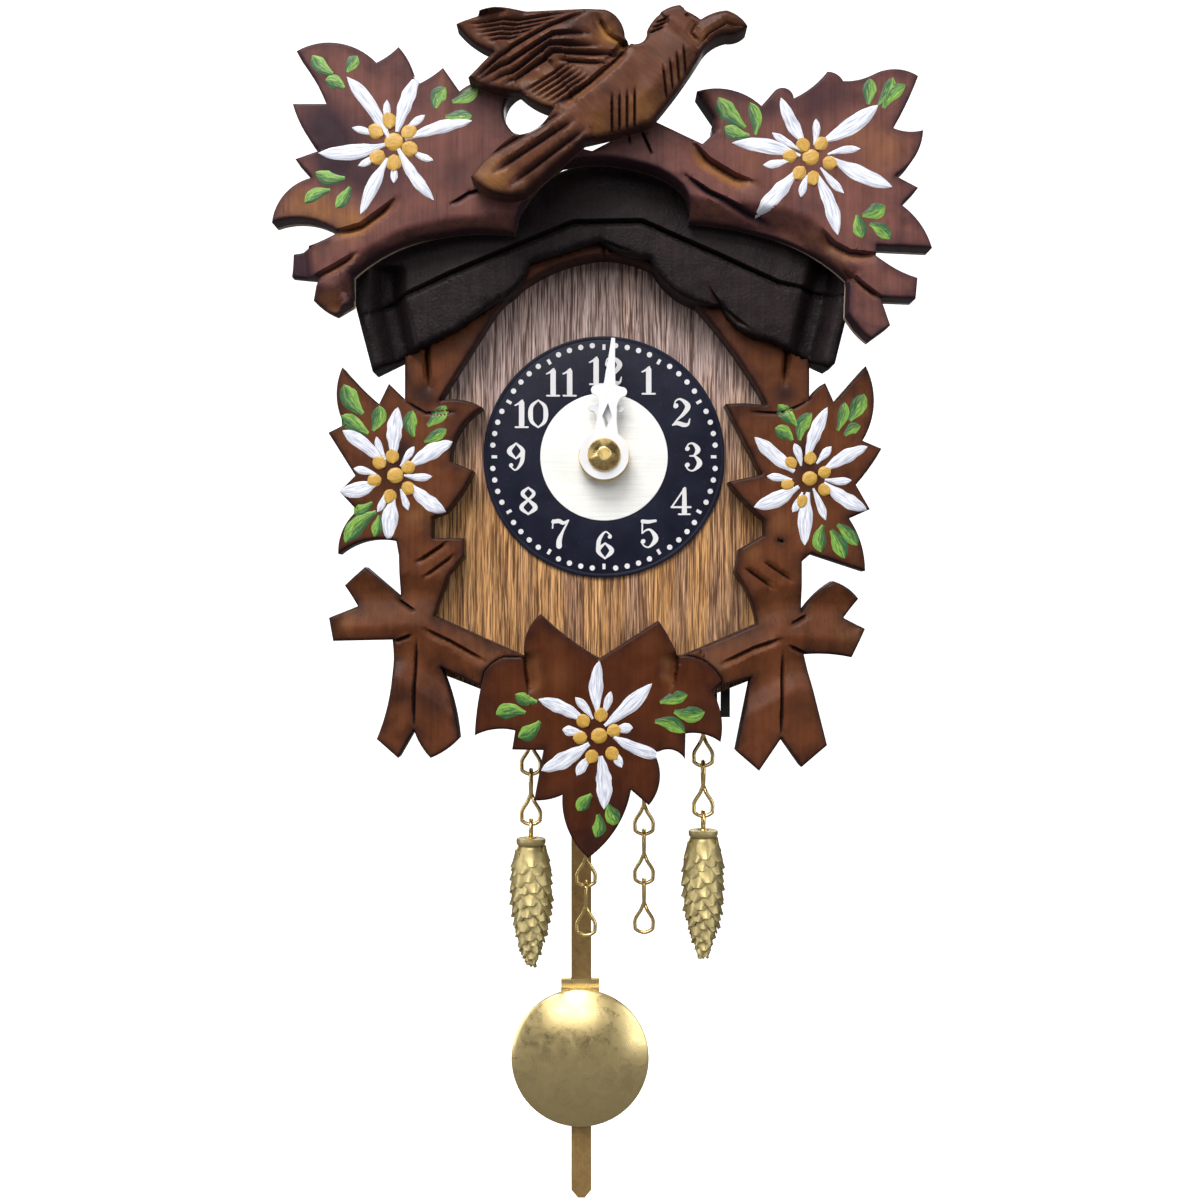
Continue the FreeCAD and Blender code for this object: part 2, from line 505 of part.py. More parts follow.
def make_cone(name, x, y, last_bottom):
    """A pine cone weight: turned body with a flange, and the wire eye screwed into its top."""
    eye_top = last_bottom + 2 * WIRE + LINK_SLACK
    flange_top = eye_top - 3.4
    profile = [(0, 0), (2.5, 0), (2.6, -1.5), (3.1, -2.6), (3.4, -5.0), (3.5, -8.0), (3.1, -12.5),
               (2.2, -17.5), (1.3, -20.6), (0.35, -22.2), (0, -22.2)]
    PARTS[name] = lathe([(r, flange_top + z) for r, z in profile], x, y)
    eye = wire_loop(3.4, 3.4)
    eye.rotate(V(0, 0, 0), V(1, 0, 0), 180)
    eye.rotate(V(0, 0, 0), V(0, 0, 1), 90)
    eye.translate(V(x, y, flange_top))
    PARTS[name] = PARTS[name].cut(rod_z(1.05, flange_top - 0.8, flange_top + 1, x, y))
    stud = rod_z(0.97, flange_top - 0.8, flange_top + 0.2, x, y)
    PARTS[name + "_eye"] = eye.fuse(stud)


def make_chains():
    for name, (x, y, top, count, has_cone) in STRANDS.items():
        for i in range(count):
            PARTS[f"{name}_{i + 1}"] = make_link(x, y, top - i * LINK_PITCH)
        if has_cone:
            bottom = top - (count - 1) * LINK_PITCH - LINK_LENGTH
            make_cone(name.replace("chain", "cone"), x, y, bottom)


def make_chain_bar():
    """The plastic bar inside the case whose prongs reach through the floor to hold the chains."""
    bar = block(-INNER_HALF, INNER_HALF, -29.0, -18.4, -65.3, -62.4)
    for x, y, top, _, _ in STRANDS.values():
        stem = hook_stem_x(x)
        peg_z = top - WIRE - 0.6
        bar = bar.fuse(block(stem - 0.7, stem + 0.7, y - 0.7, y + 0.7, peg_z - 0.5, -63))
        peg = Part.makeCylinder(0.5, 2.6, V(stem - 2.6, y, peg_z), V(1, 0, 0))
        bar = bar.fuse(peg)
    spare = hook_stem_x(19.0)
    bar = bar.fuse(block(spare - 0.75, spare + 0.75, -27.7, -26.3, -77.6, -63))
    bar = bar.fuse(block(spare - 1.9, spare, -27.7, -26.3, -77.6, -76.6))
    PARTS["chain_bar"] = bar


make_case()
cover_screw_sites = make_hanger_and_screws()
make_carvings()
make_dial_and_hands()
make_motion_work()
make_housing(cover_screw_sites)
make_electrics()
make_pendulum()
make_chains()
make_chain_bar()

os.makedirs("parts", exist_ok=True)
for part_name, part_shape in PARTS.items():
    if not part_shape.isValid() or part_shape.Volume <= 0:
        raise ValueError(part_name + " is not a valid solid")
    part_shape.exportStep("parts/" + part_name + ".step")
print(len(PARTS), "parts")
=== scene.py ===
import json
import math

import bpy
import bmesh
import numpy as np
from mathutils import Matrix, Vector, noise
from mathutils.geometry import delaunay_2d_cdt

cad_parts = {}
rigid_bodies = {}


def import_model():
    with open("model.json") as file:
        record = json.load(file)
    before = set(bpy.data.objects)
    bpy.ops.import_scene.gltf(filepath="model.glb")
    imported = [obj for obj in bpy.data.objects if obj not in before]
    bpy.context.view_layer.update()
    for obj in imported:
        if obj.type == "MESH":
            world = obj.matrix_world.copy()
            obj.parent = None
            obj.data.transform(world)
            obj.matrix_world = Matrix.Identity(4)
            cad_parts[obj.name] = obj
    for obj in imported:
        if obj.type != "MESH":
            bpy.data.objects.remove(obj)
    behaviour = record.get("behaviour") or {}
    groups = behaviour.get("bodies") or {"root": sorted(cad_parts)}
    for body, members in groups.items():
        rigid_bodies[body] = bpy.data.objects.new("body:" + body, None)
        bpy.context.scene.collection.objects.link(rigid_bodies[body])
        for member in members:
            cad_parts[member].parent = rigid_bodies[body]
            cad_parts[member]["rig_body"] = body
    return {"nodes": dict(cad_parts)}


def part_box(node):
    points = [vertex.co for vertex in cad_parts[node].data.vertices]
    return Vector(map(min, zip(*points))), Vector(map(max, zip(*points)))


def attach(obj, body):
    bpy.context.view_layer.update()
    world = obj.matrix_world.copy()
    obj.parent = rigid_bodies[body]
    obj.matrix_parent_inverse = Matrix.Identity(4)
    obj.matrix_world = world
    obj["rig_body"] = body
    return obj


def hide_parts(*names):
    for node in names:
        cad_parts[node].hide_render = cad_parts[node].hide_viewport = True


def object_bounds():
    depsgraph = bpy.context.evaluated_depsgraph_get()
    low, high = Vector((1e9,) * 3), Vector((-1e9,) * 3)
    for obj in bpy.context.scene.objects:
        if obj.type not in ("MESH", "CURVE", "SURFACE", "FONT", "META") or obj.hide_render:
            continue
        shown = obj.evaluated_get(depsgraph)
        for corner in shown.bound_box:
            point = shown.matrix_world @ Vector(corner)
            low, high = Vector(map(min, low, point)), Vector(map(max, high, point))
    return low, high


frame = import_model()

bl_info = {
    "name": "Carved Pendulum Wall Clock",
    "version": (1, 0, 0),
    "blender": (4, 5, 0),
    "location": "3D View > Sidebar > Clock",
    "description": "Builds the finished pieces of a small carved wall clock round its packed frame",
    "category": "Object",
}

MM = 0.001
CAD_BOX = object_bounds()
DIAL_LOW, DIAL_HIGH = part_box("dial_plate")
DIAL_CENTRE = (DIAL_LOW + DIAL_HIGH) / 2 / MM
DIAL_FRONT = DIAL_LOW.y / MM
DIAL_R = (DIAL_HIGH.x - DIAL_LOW.x) / 2 / MM
DIGIT_WIDTH = 0.72                      # of a numeral's height
BOB_SHELL = 0.7                         # thickness of the pressed bob
CONE_HEIGHT, CONE_WIDEST = 19.2, 2.9    # of the part that carries scales
CONE_SHAPE = [(0, 0), (2.2, 0), (2.46, -0.12), (2.5, -0.4), (2.46, -0.9), (2.3, -1.15), (2.0, -1.3), (2.35, -2.2),
              (2.85, -4.6), (2.95, -7.6), (2.65, -11.8), (1.85, -16.4), (1.1, -19.4), (0.35, -21.6), (0, -22.1)]
GOLDEN_ANGLE = math.radians(137.508)

# ---- carved relief ----
# Every place is (x, z) in millimetres, seen from the front. Each row of cuts is
# (depth, reach to the left of its direction, reach to the right, tone, corners): the tool goes
# to its depth on the line and eases out over each reach. Tone runs from -1 dark to 1 bare gold;
# the dark is partly stain and partly painted shade in the cuts and under the arms.
# A fan is (depth, left, right, tone, how many, first line, last line).
# A fall is (slope left, slope right, greatest drop, tone, corners): the face drops away from
# the line on each side. A patch of shade is (x, z, radius, tone): painted tone, dark where negative
# and warm where positive; the dark is partly airbrushed stain and partly painted shade under the arms and lobes.
CARVINGS = {
    "crown_carving": {
        "back": -42.0, "height": 6.0, "round": 0.5, "slot": "crown_wood",
        "cuts": [
            (1.6, 0.25, 1.2, -0.9, [(12.9, 9.2), (16.6, 6.8), (21.4, 4.5), (26.1, 2.1)]),
            (2.2, 0.3, 2.6, 0.9, [(14.4, 14.0), (16.6, 11.8), (20.6, 9.4), (23.2, 8.3)]),
            (2.0, 0.3, 1.9, 0.5, [(34.4, 0.6), (36.3, -1.4), (38.7, -2.7), (43.0, -3.2)]),
            (1.8, 0.3, 1.4, 0.4, [(37.9, -5.2), (41.0, -8.0), (44.0, -10.2)]),
            (2.2, 0.3, 1.6, 0.8, [(-33.2, 5.3), (-36.1, 3.2), (-38.4, 1.5), (-42.6, 0.3)][::-1]),
            (1.5, 0.4, 1.3, 0.6, [(-46.3, -7.1), (-42.4, -5.0), (-39.2, -3.1)]),
            (0.8, 0.2, 0.8, -0.6, [(-24.2, 4.7), (-21.5, 6.4), (-18.6, 7.3)]),
            (1.0, 0.3, 0.3, -0.9, [(5.4, 17.2), (7.5, 12.6)]),
            (0.5, 0.25, 0.25, -0.8, [(3.7, 16.6), (4.0, 14.2)]),
        ],
        "fans": [],
        "falls": [
            (0.0, 1.25, 3.6, 0.35, [(-42.2, -8.2), (-38.4, -3.1), (-32.1, 0.5), (-24.3, 2.4), (-14.0, 3.1)]),
            (0.0, 1.1, 3.4, 0.25, [(13.4, 6.0), (22.8, 4.8), (28.9, 3.8), (32.6, 2.3), (38.7, -3.6), (40.6, -5.8)]),
            (0.0, 1.6, 3.5, -1.0, [(-45.9, -1.8), (-45.3, -7.0)]),
            (0.8, 0.0, 2.5, 0.5, [(-46.8, -8.0), (-41.4, -8.4)][::-1]),
            (0.0, 1.5, 2.8, -0.8, [(15.6, 15.0), (17.9, 15.9), (18.2, 18.6), (15.8, 22.4)][::-1]),
        ],
        "shade": [
            (-44.5, 17.5, 5.5, -0.9), (-40.5, 13.0, 6.5, -0.8), (-43.5, 10.0, 4.0, -0.7),
            (-38.0, 7.5, 3.5, -0.6), (-33.0, 9.0, 4.5, -0.6), (-31.0, 25.5, 3.6, -0.55),
            (-30.5, 21.0, 3.0, -0.4), (-22.5, 14.0, 5.0, -0.15), (-20.5, 20.5, 4.0, -0.5),
            (-13.0, 17.0, 5.0, -0.6), (-23.5, 9.0, 3.5, -0.5), (-46.0, 3.5, 6.0, 0.75),
            (-39.5, 2.0, 3.5, 0.6), (-23.8, 24.0, 2.6, 0.5), (-17.5, 10.5, 3.0, -0.35),
            (-16.0, 6.5, 4.0, -0.3), (-6.0, 12.0, 6.0, -0.5), (2.0, 15.5, 5.0, -0.5),
            (33.5, 21.5, 5.5, -0.75), (30.0, 24.0, 2.5, -0.6), (26.0, 20.0, 2.6, -0.7),
            (39.0, 22.0, 4.5, -0.3), (44.0, 13.5, 5.5, 0.35), (38.5, 17.0, 2.8, 0.5),
            (23.0, 11.0, 3.5, 0.2), (44.0, 2.5, 4.0, 0.1), (31.5, 4.0, 3.0, -0.45),
            (16.5, 9.0, 3.0, -0.1), (24.0, 2.5, 6.0, -0.25), (10.0, 13.0, 4.0, -0.15),
        ],
    },
    "bird_carving": {
        "back": -48.0, "height": 6.0, "round": 0.8, "slot": "bird_wood",
        "cuts": [
            (0.9, 0.5, 0.5, -0.8, [(-20.4, 23.0), (-14.3, 28.1), (-8.5, 31.0), (-2.8, 32.8)]),
            (1.1, 0.6, 0.6, -0.9, [(-19.7, 22.9), (-13.7, 26.4), (-7.9, 29.6), (-2.5, 29.6)]),
            (1.1, 0.7, 0.6, -0.9, [(-18.0, 22.3), (-13.1, 24.9), (-8.5, 28.0), (-1.3, 27.8)]),
            (1.1, 0.7, 0.6, -0.9, [(-15.5, 22.0), (-10.6, 25.0), (-7.9, 26.8), (2.5, 26.5)]),
            (0.8, 0.5, 0.5, -0.6, [(-7.0, 25.5), (0.2, 25.1)]),
            (1.3, 1.3, 0.4, 0.3, [(3.9, 27.6), (0.0, 24.3), (-2.5, 22.1), (-6.9, 18.6)]),
            (0.9, 0.4, 1.2, 0.7, [(-1.0, 32.2), (0.6, 29.6), (3.9, 27.9)]),
            (0.7, 0.3, 0.8, 0.4, [(14.4, 31.5), (13.4, 29.6), (14.6, 28.2)]),
            (0.9, 0.3, 0.9, 0.5, [(21.6, 30.5), (18.9, 31.2), (16.2, 29.6), (14.4, 27.4)]),
        ],
        "fans": [
            (0.55, 0.4, 0.35, -0.55, 6, [(-12.4, 21.0), (-5.6, 25.0)], [(-7.6, 18.6), (-1.8, 22.6)]),
            (0.65, 0.45, 0.4, -0.5, 5, [(-21.4, 31.6), (-5.0, 33.0)], [(-17.8, 28.9), (-12.8, 29.8)]),
            (1.2, 0.9, 0.7, -0.75, 3, [(-19.6, 10.0), (-6.5, 17.6)], [(-14.2, 6.4), (-3.2, 14.8)]),
            (0.7, 0.28, 0.28, -0.9, 4, [(1.2, 20.2), (1.2, 14.0)], [(4.7, 21.2), (4.7, 15.0)]),
            (0.6, 0.26, 0.26, -0.85, 4, [(9.0, 24.6), (9.7, 19.6)], [(12.2, 27.6), (12.6, 23.0)]),
            (0.5, 0.3, 0.25, -0.7, 3, [(6.8, 29.6), (9.2, 30.6)], [(7.8, 31.2), (10.0, 32.0)]),
        ],
        "falls": [
            (0.10, 0.42, 3.0, 0.25, [(-3.0, 18.0), (3.0, 20.2), (8.6, 23.4), (13.3, 27.6)]),
            (0.30, 0.10, 2.2, 0.0, [(-2.8, 33.4), (-7.5, 27.5), (-2.0, 23.0), (-9.0, 17.0)][::-1]),
            (0.0, 0.22, 2.4, 0.1, [(-9.5, 19.2), (-10.0, 33.5)][::-1]),
            (0.15, 0.10, 1.6, 0.1, [(-22.0, 5.0), (-3.0, 17.0)]),
            (0.25, 0.35, 2.0, 0.0, [(15.2, 29.2), (18.9, 31.8), (22.0, 30.8)]),
        ],
        "shade": [
            (7.5, 26.5, 2.6, -0.4), (3.5, 23.4, 2.6, -0.45), (0.0, 20.8, 2.2, -0.4), (11.0, 28.4, 2.4, -0.35),
            (-5.0, 30.8, 2.4, -0.8), (-8.0, 28.6, 2.0, -0.4), (-18.0, 24.5, 2.4, -0.25),
            (5.5, 18.5, 3.0, 0.35), (11.5, 23.0, 2.2, 0.2), (-17.0, 7.5, 3.5, 0.6), (-9.5, 20.5, 2.5, 0.5),
            (0.5, 29.5, 1.8, 0.7), (15.5, 28.8, 1.6, 0.3), (-1.0, 16.0, 2.5, 0.3), (22.0, 31.0, 1.3, -0.9),
        ],
    },
    "gable_fascia": {
        "back": -34.0, "height": 8.0, "round": 0.9, "slot": "fascia_wood",
        "cuts": [
            (1.4, 0.5, 0.9, -1.0, [
                (-39.5, -12.2), (-36.7, -10.7), (-24.5, -4.9), (-15.0, -0.9), (-5.0, 3.2), (6.0, 3.4),
                (19.0, -2.3), (28.3, -6.6), (40.0, -9.0)]),
            (1.0, 1.6, 0.2, 0.4, [(-18.0, -10.2), (-13.6, -6.2), (-11.4, -2.9)][::-1]),
            (1.0, 1.6, 0.2, 0.4, [(-3.6, -1.0), (0.4, 0.1), (4.6, -1.6)][::-1]),
            (1.0, 1.6, 0.2, 0.5, [(17.0, -7.4), (19.2, -10.4), (23.4, -13.8)][::-1]),
        ],
        "fans": [],
        "falls": [
            (0.10, 0.0, 1.5, 0.0, [(-39.5, -12.2), (-24.5, -4.9), (-5.0, 3.2), (6.0, 3.4), (28.3, -6.6),
                (40.0, -9.0)]),
            (0.0, 1.3, 3.0, -0.6, [(-35.6, -20.6), (-38.3, -9.7), (-38.3, -4.0)]),
            (0.0, 1.3, 3.0, -0.5, [(39.0, -4.0), (37.4, -11.5), (35.0, -20.8)]),
        ],
        "shade": [],
    },
    "surround_left": {
        "back": -34.0, "height": 5.0, "round": 0.55, "slot": "surround_wood",
        "cuts": [
            (1.6, 0.8, 0.8, 0.5, [(-28.9, -13.5), (-29.0, -18.0), (-28.6, -23.0)]),
            (1.2, 0.3, 0.9, 0.4, [(-30.4, -51.4), (-25.8, -48.3)]),
            (1.0, 0.3, 0.8, 0.4, [(-29.4, -53.9), (-24.6, -50.4)]),
            (1.2, 0.4, 1.0, 0.3, [(-29.4, -62.4), (-25.0, -64.5), (-19.6, -67.6)]),
            (0.9, 0.3, 0.7, -0.7, [(-33.6, -57.6), (-31.0, -59.4)]),
            (0.9, 0.3, 0.7, -0.7, [(-34.2, -64.4), (-31.6, -63.4)]),
            (0.8, 0.3, 0.5, -0.6, [(-30.6, -64.2), (-30.9, -72.0), (-31.0, -78.6)]),
            (0.5, 0.2, 0.4, -0.8, [(-32.2, -25.4), (-29.0, -27.2), (-24.4, -27.0)]),
        ],
        "fans": [],
        "falls": [
            (0.25, 0.25, 1.1, 0.1, [(-19.0, -70.0), (-30.6, -61.8), (-43.0, -62.4)]),
        ],
        "shade": [
            (-34.0, -37.4, 4.5, -0.75), (-33.0, -33.0, 3.0, -0.8), (-40.0, -36.0, 3.0, -0.5), (-26.0, -40.0, 3.0,
                -0.1),
            (-38.0, -46.0, 3.0, -0.2), (-24.5, -27.5, 3.0, -0.3), (-42.5, -31.0, 2.0, 0.2), (-30.5, -44.0, 3.0, 0.35),
            (-31.5, -20.0, 3.0, 0.0), (-29.5, -24.0, 3.0, -0.9), (-30.7, -61.6, 2.2, -0.3), (-26.0, -46.0, 2.0, 0.35),
            (-28.0, -74.0, 4.5, -0.6), (-33.5, -73.0, 3.0, -0.5), (-42.0, -61.0, 3.0, 0.25), (-18.0, -69.0, 3.0,
                0.25),
        ],
    },
    "surround_right": {
        "back": -34.0, "height": 5.0, "round": 0.55, "slot": "surround_wood",
        "cuts": [
            (1.6, 0.8, 0.8, 0.4, [(29.2, -12.5), (29.8, -17.5), (29.4, -22.5)]),
            (1.2, 0.9, 0.3, 0.4, [(23.0, -52.6), (27.5, -55.8)]),
            (1.0, 0.8, 0.3, 0.4, [(26.0, -51.5), (30.7, -54.7)]),
            (1.2, 1.0, 0.4, 0.3, [(29.0, -64.0), (24.5, -65.5), (19.4, -68.0)]),
            (0.9, 0.7, 0.3, -0.7, [(33.0, -60.2), (30.6, -61.6)]),
            (0.9, 0.7, 0.3, -0.7, [(33.0, -66.4), (30.4, -65.2)]),
            (0.8, 0.5, 0.3, -0.6, [(29.2, -66.2), (29.0, -73.0), (28.8, -80.0)]),
            (0.5, 0.4, 0.2, -0.8, [(33.4, -25.2), (29.0, -27.2), (24.0, -27.0)]),
        ],
        "fans": [],
        "falls": [
            (0.25, 0.25, 1.1, 0.1, [(18.0, -70.0), (29.4, -63.6), (41.6, -64.4)]),
        ],
        "shade": [
            (33.5, -37.9, 4.5, -0.75), (33.0, -33.0, 3.0, -0.8), (40.0, -38.0, 3.0, -0.3), (26.0, -38.0, 3.0, -0.1),
            (38.0, -47.0, 3.0, -0.2), (23.5, -27.5, 3.0, -0.3), (42.5, -27.0, 2.0, 0.2), (28.5, -45.0, 3.0, 0.25),
            (31.0, -20.0, 3.0, 0.0), (29.5, -24.0, 3.0, -0.9), (29.4, -63.6, 2.2, -0.3), (24.0, -50.0, 2.0, 0.35),
            (26.0, -76.0, 3.5, -0.1), (32.0, -75.0, 3.5, -0.35), (40.0, -64.0, 3.0, 0.25), (17.0, -69.0, 3.0, 0.25),
        ],
    },
    "bottom_leaf": {
        "back": -34.0, "height": 5.0, "round": 0.45, "slot": "leaf_wood",
        "cuts": [
            (1.7, 0.2, 3.2, 0.55, [(-13.1, -66.0), (-12.9, -69.5), (-12.3, -72.8)][::-1]),
            (1.7, 3.2, 0.2, 0.5, [(12.1, -66.0), (12.0, -69.0), (11.5, -71.6)][::-1]),
        ],
        "fans": [],
        "falls": [],
        "shade": [
            (-0.8, -79.8, 5.5, -0.5), (5.0, -80.0, 4.0, -0.4), (0.0, -89.0, 5.5, -0.5), (-2.0, -97.0, 4.0, -0.8),
            (-18.5, -75.0, 4.0, -0.35), (17.5, -76.0, 4.0, -0.5), (3.5, -72.0, 3.5, -0.3), (-7.0, -70.0, 4.0, 0.25),
            (7.5, -65.0, 3.0, 0.15), (-9.0, -64.0, 3.0, 0.15), (-6.0, -86.0, 3.0, 0.0),
        ],
    },
}
FASCIA_LAP = 2.3          # what is left of the surround's height under the fascia
CLEAR_OF_FASCIA = 0.35    # how near the fascia's outline the surround still has its full height

# ---- painted flowers ----
# A stroke is (x0, z0, x1, z1, width), from its root to its tip.
FLOWERS = {
    "crown_carving": [
        dict(centre=(-33.1, 14.4), size=1.45,
             dots=[(-33.9, 17.7), (-35.9, 16.1), (-30.7, 15.9), (-30.6, 13.3), (-35.7, 12.0), (-33.1, 11.1)],
             petals=[(-34.3, 15.5, -40.5, 24.6, 2.5), (-32.4, 16.6, -29.3, 24.9, 2.5),
                     (-30.6, 15.0, -20.8, 17.7, 2.2), (-32.1, 12.8, -26.8, 5.2, 2.2),
                     (-34.5, 10.7, -38.3, 3.0, 2.2), (-34.5, 13.9, -45.0, 12.6, 2.5)],
             sepals=[(-34.0, 17.8, -34.2, 21.0, 1.3), (-30.9, 16.9, -28.2, 18.6, 1.3),
                     (-29.3, 12.5, -26.9, 11.5, 1.3), (-33.1, 10.3, -33.1, 7.9, 1.3),
                     (-36.5, 11.8, -38.7, 10.6, 1.3), (-36.5, 15.8, -39.7, 16.6, 1.3)],
             greens=[(-46.0, 28.0, -42.7, 25.1, 2.4), (-38.9, 28.0, -40.5, 25.4, 2.0),
                     (-43.9, 24.1, -40.9, 22.9, 2.2), (-25.0, 23.0, -26.6, 19.7, 2.5),
                     (-19.9, 22.8, -23.9, 20.7, 2.2), (-20.8, 18.6, -25.0, 18.4, 2.2),
                     (-45.5, 9.6, -40.8, 8.7, 2.3), (-47.1, 4.8, -43.1, 6.8, 2.0),
                     (-42.2, 4.0, -40.0, 7.3, 2.0)]),
        dict(centre=(32.5, 12.0), size=1.3,
             dots=[(31.3, 13.9), (34.1, 14.1), (29.2, 12.2), (35.5, 11.1), (30.7, 9.5), (32.9, 8.7)],
             petals=[(31.3, 14.7, 27.8, 21.3, 2.4), (34.7, 15.2, 43.1, 20.2, 2.8), (36.8, 11.8, 45.3, 7.3, 2.7),
                     (33.6, 8.4, 36.8, -0.3, 2.5), (29.7, 9.2, 24.0, 3.0, 2.7), (30.2, 12.3, 20.1, 14.2, 2.4)],
             sepals=[(33.3, 14.7, 33.3, 18.0, 1.4), (30.0, 13.6, 26.4, 15.8, 1.4), (36.3, 12.6, 40.3, 13.3, 1.4),
                     (34.7, 9.6, 37.7, 6.3, 1.4), (31.8, 7.9, 31.0, 5.7, 1.4), (28.4, 11.5, 25.0, 10.7, 1.4)],
             greens=[(17.9, 21.4, 22.2, 16.6, 2.7), (22.9, 20.6, 23.7, 15.5, 2.0), (18.9, 16.8, 22.9, 15.4, 2.2),
                     (41.8, 24.4, 41.5, 20.3, 2.2), (45.4, 24.6, 43.1, 20.3, 1.9), (47.4, 23.4, 43.9, 19.7, 2.4),
                     (44.2, 4.5, 40.6, 2.9, 2.5), (40.6, -0.7, 39.8, 2.9, 2.2), (45.0, -0.9, 41.8, 1.5, 2.2)]),
    ],
    "surround_left": [
        dict(centre=(-34.0, -37.4), size=1.3,
             dots=[(-34.5, -34.3), (-36.6, -35.3), (-31.9, -36.1), (-37.4, -38.2), (-34.9, -40.8), (-31.9, -39.5)],
             petals=[(-37.1, -34.1, -42.6, -30.1, 2.6), (-34.3, -33.0, -33.6, -26.3, 2.8),
                     (-31.2, -35.6, -24.7, -31.9, 2.8), (-31.0, -39.3, -25.7, -43.6, 2.8),
                     (-34.5, -42.3, -35.1, -48.0, 2.9), (-37.7, -39.0, -43.2, -40.2, 2.6)],
             sepals=[(-36.2, -33.8, -37.1, -31.1, 1.3), (-32.8, -35.3, -30.9, -32.7, 1.3),
                     (-32.0, -37.4, -28.0, -37.6, 1.5), (-32.8, -40.6, -31.9, -43.1, 1.3),
                     (-36.1, -41.1, -36.9, -43.4, 1.3), (-38.4, -37.2, -40.8, -36.3, 1.5)],
             greens=[(-42.4, -22.6, -39.3, -27.4, 3.2), (-42.9, -27.6, -38.4, -30.6, 2.6),
                     (-36.6, -26.0, -37.7, -30.1, 2.4), (-31.2, -26.8, -31.0, -31.1, 2.3),
                     (-25.8, -26.0, -28.8, -29.3, 2.4), (-25.7, -29.8, -29.3, -31.9, 1.9),
                     (-41.3, -43.3, -37.7, -41.8, 1.9), (-42.1, -48.4, -37.1, -43.4, 3.0),
                     (-37.4, -47.4, -36.6, -43.9, 1.9)]),
    ],
    "surround_right": [
        dict(centre=(33.5, -37.9), size=1.2,
             dots=[(33.6, -34.6), (30.4, -35.4), (35.9, -36.9), (29.9, -38.9), (35.9, -39.7), (32.3, -41.6)],
             petals=[(32.8, -33.3, 36.4, -26.3, 2.4), (36.4, -36.3, 42.9, -32.7, 2.4),
                 (36.7, -39.0, 42.9, -43.1, 2.8),
                     (33.1, -41.1, 32.7, -48.8, 2.6), (31.0, -39.8, 24.4, -42.6, 2.6), (29.9, -36.3, 24.5, -31.2,
                         2.9)],
             sepals=[(35.1, -34.5, 37.0, -32.7, 1.5), (37.0, -38.2, 40.3, -38.2, 1.5),
                 (34.3, -40.2, 36.1, -44.7, 1.5),
                     (31.8, -41.1, 30.7, -43.4, 1.5), (29.4, -38.2, 26.5, -37.6, 1.5), (31.5, -35.0, 31.0, -32.2,
                         1.5)],
             greens=[(28.3, -25.9, 31.4, -29.3, 2.3), (27.8, -29.8, 30.7, -31.7, 2.3),
                 (33.8, -27.2, 31.8, -31.7, 2.3),
                     (39.2, -25.5, 38.0, -30.1, 1.9), (42.3, -24.1, 40.0, -28.5, 2.6), (41.8, -29.3, 39.2, -30.9,
                         1.9),
                     (35.4, -49.9, 35.7, -45.5, 2.3), (39.2, -50.9, 37.0, -46.3, 2.6), (41.3, -48.8, 38.0, -45.4,
                         2.3)]),
    ],
    "bottom_leaf": [
        dict(centre=(-0.8, -79.8), size=1.3,
             dots=[(-0.5, -76.4), (-3.4, -77.4), (-3.9, -80.1), (-2.0, -83.2), (1.3, -82.7), (1.6, -79.0)],
             petals=[(-1.1, -74.9, -0.8, -67.6, 2.4), (0.5, -77.5, 7.8, -71.3, 2.9), (2.6, -80.1, 9.3, -83.2, 2.4),
                     (-0.5, -84.5, 0.0, -91.8, 2.9), (-3.1, -81.7, -10.2, -85.5, 2.9), (-3.9, -76.4, -10.7, -73.9,
                         2.6)],
             sepals=[(-2.3, -75.9, -4.7, -73.6, 1.6), (0.2, -75.1, 1.1, -72.6, 1.5), (2.6, -78.8, 4.7, -78.5, 1.9),
                     (1.9, -82.4, 2.9, -85.0, 1.6), (-2.6, -84.5, -4.4, -86.3, 1.9), (-4.7, -79.1, -6.8, -78.8, 1.9)],
             greens=[(-14.5, -73.1, -10.9, -74.3, 2.1), (-17.6, -76.4, -12.8, -76.1, 2.6),
                 (-14.0, -80.1, -10.4, -77.5, 2.6),
                     (13.6, -73.1, 9.1, -74.4, 2.1), (16.4, -75.9, 11.4, -75.9, 2.6), (13.2, -79.3, 8.3, -77.5, 2.4),
                     (-4.2, -92.1, -2.0, -89.4, 2.3), (2.3, -94.3, 0.6, -91.0, 2.6), (-1.3, -96.4, -1.0, -92.6,
                         2.3)]),
    ],
}

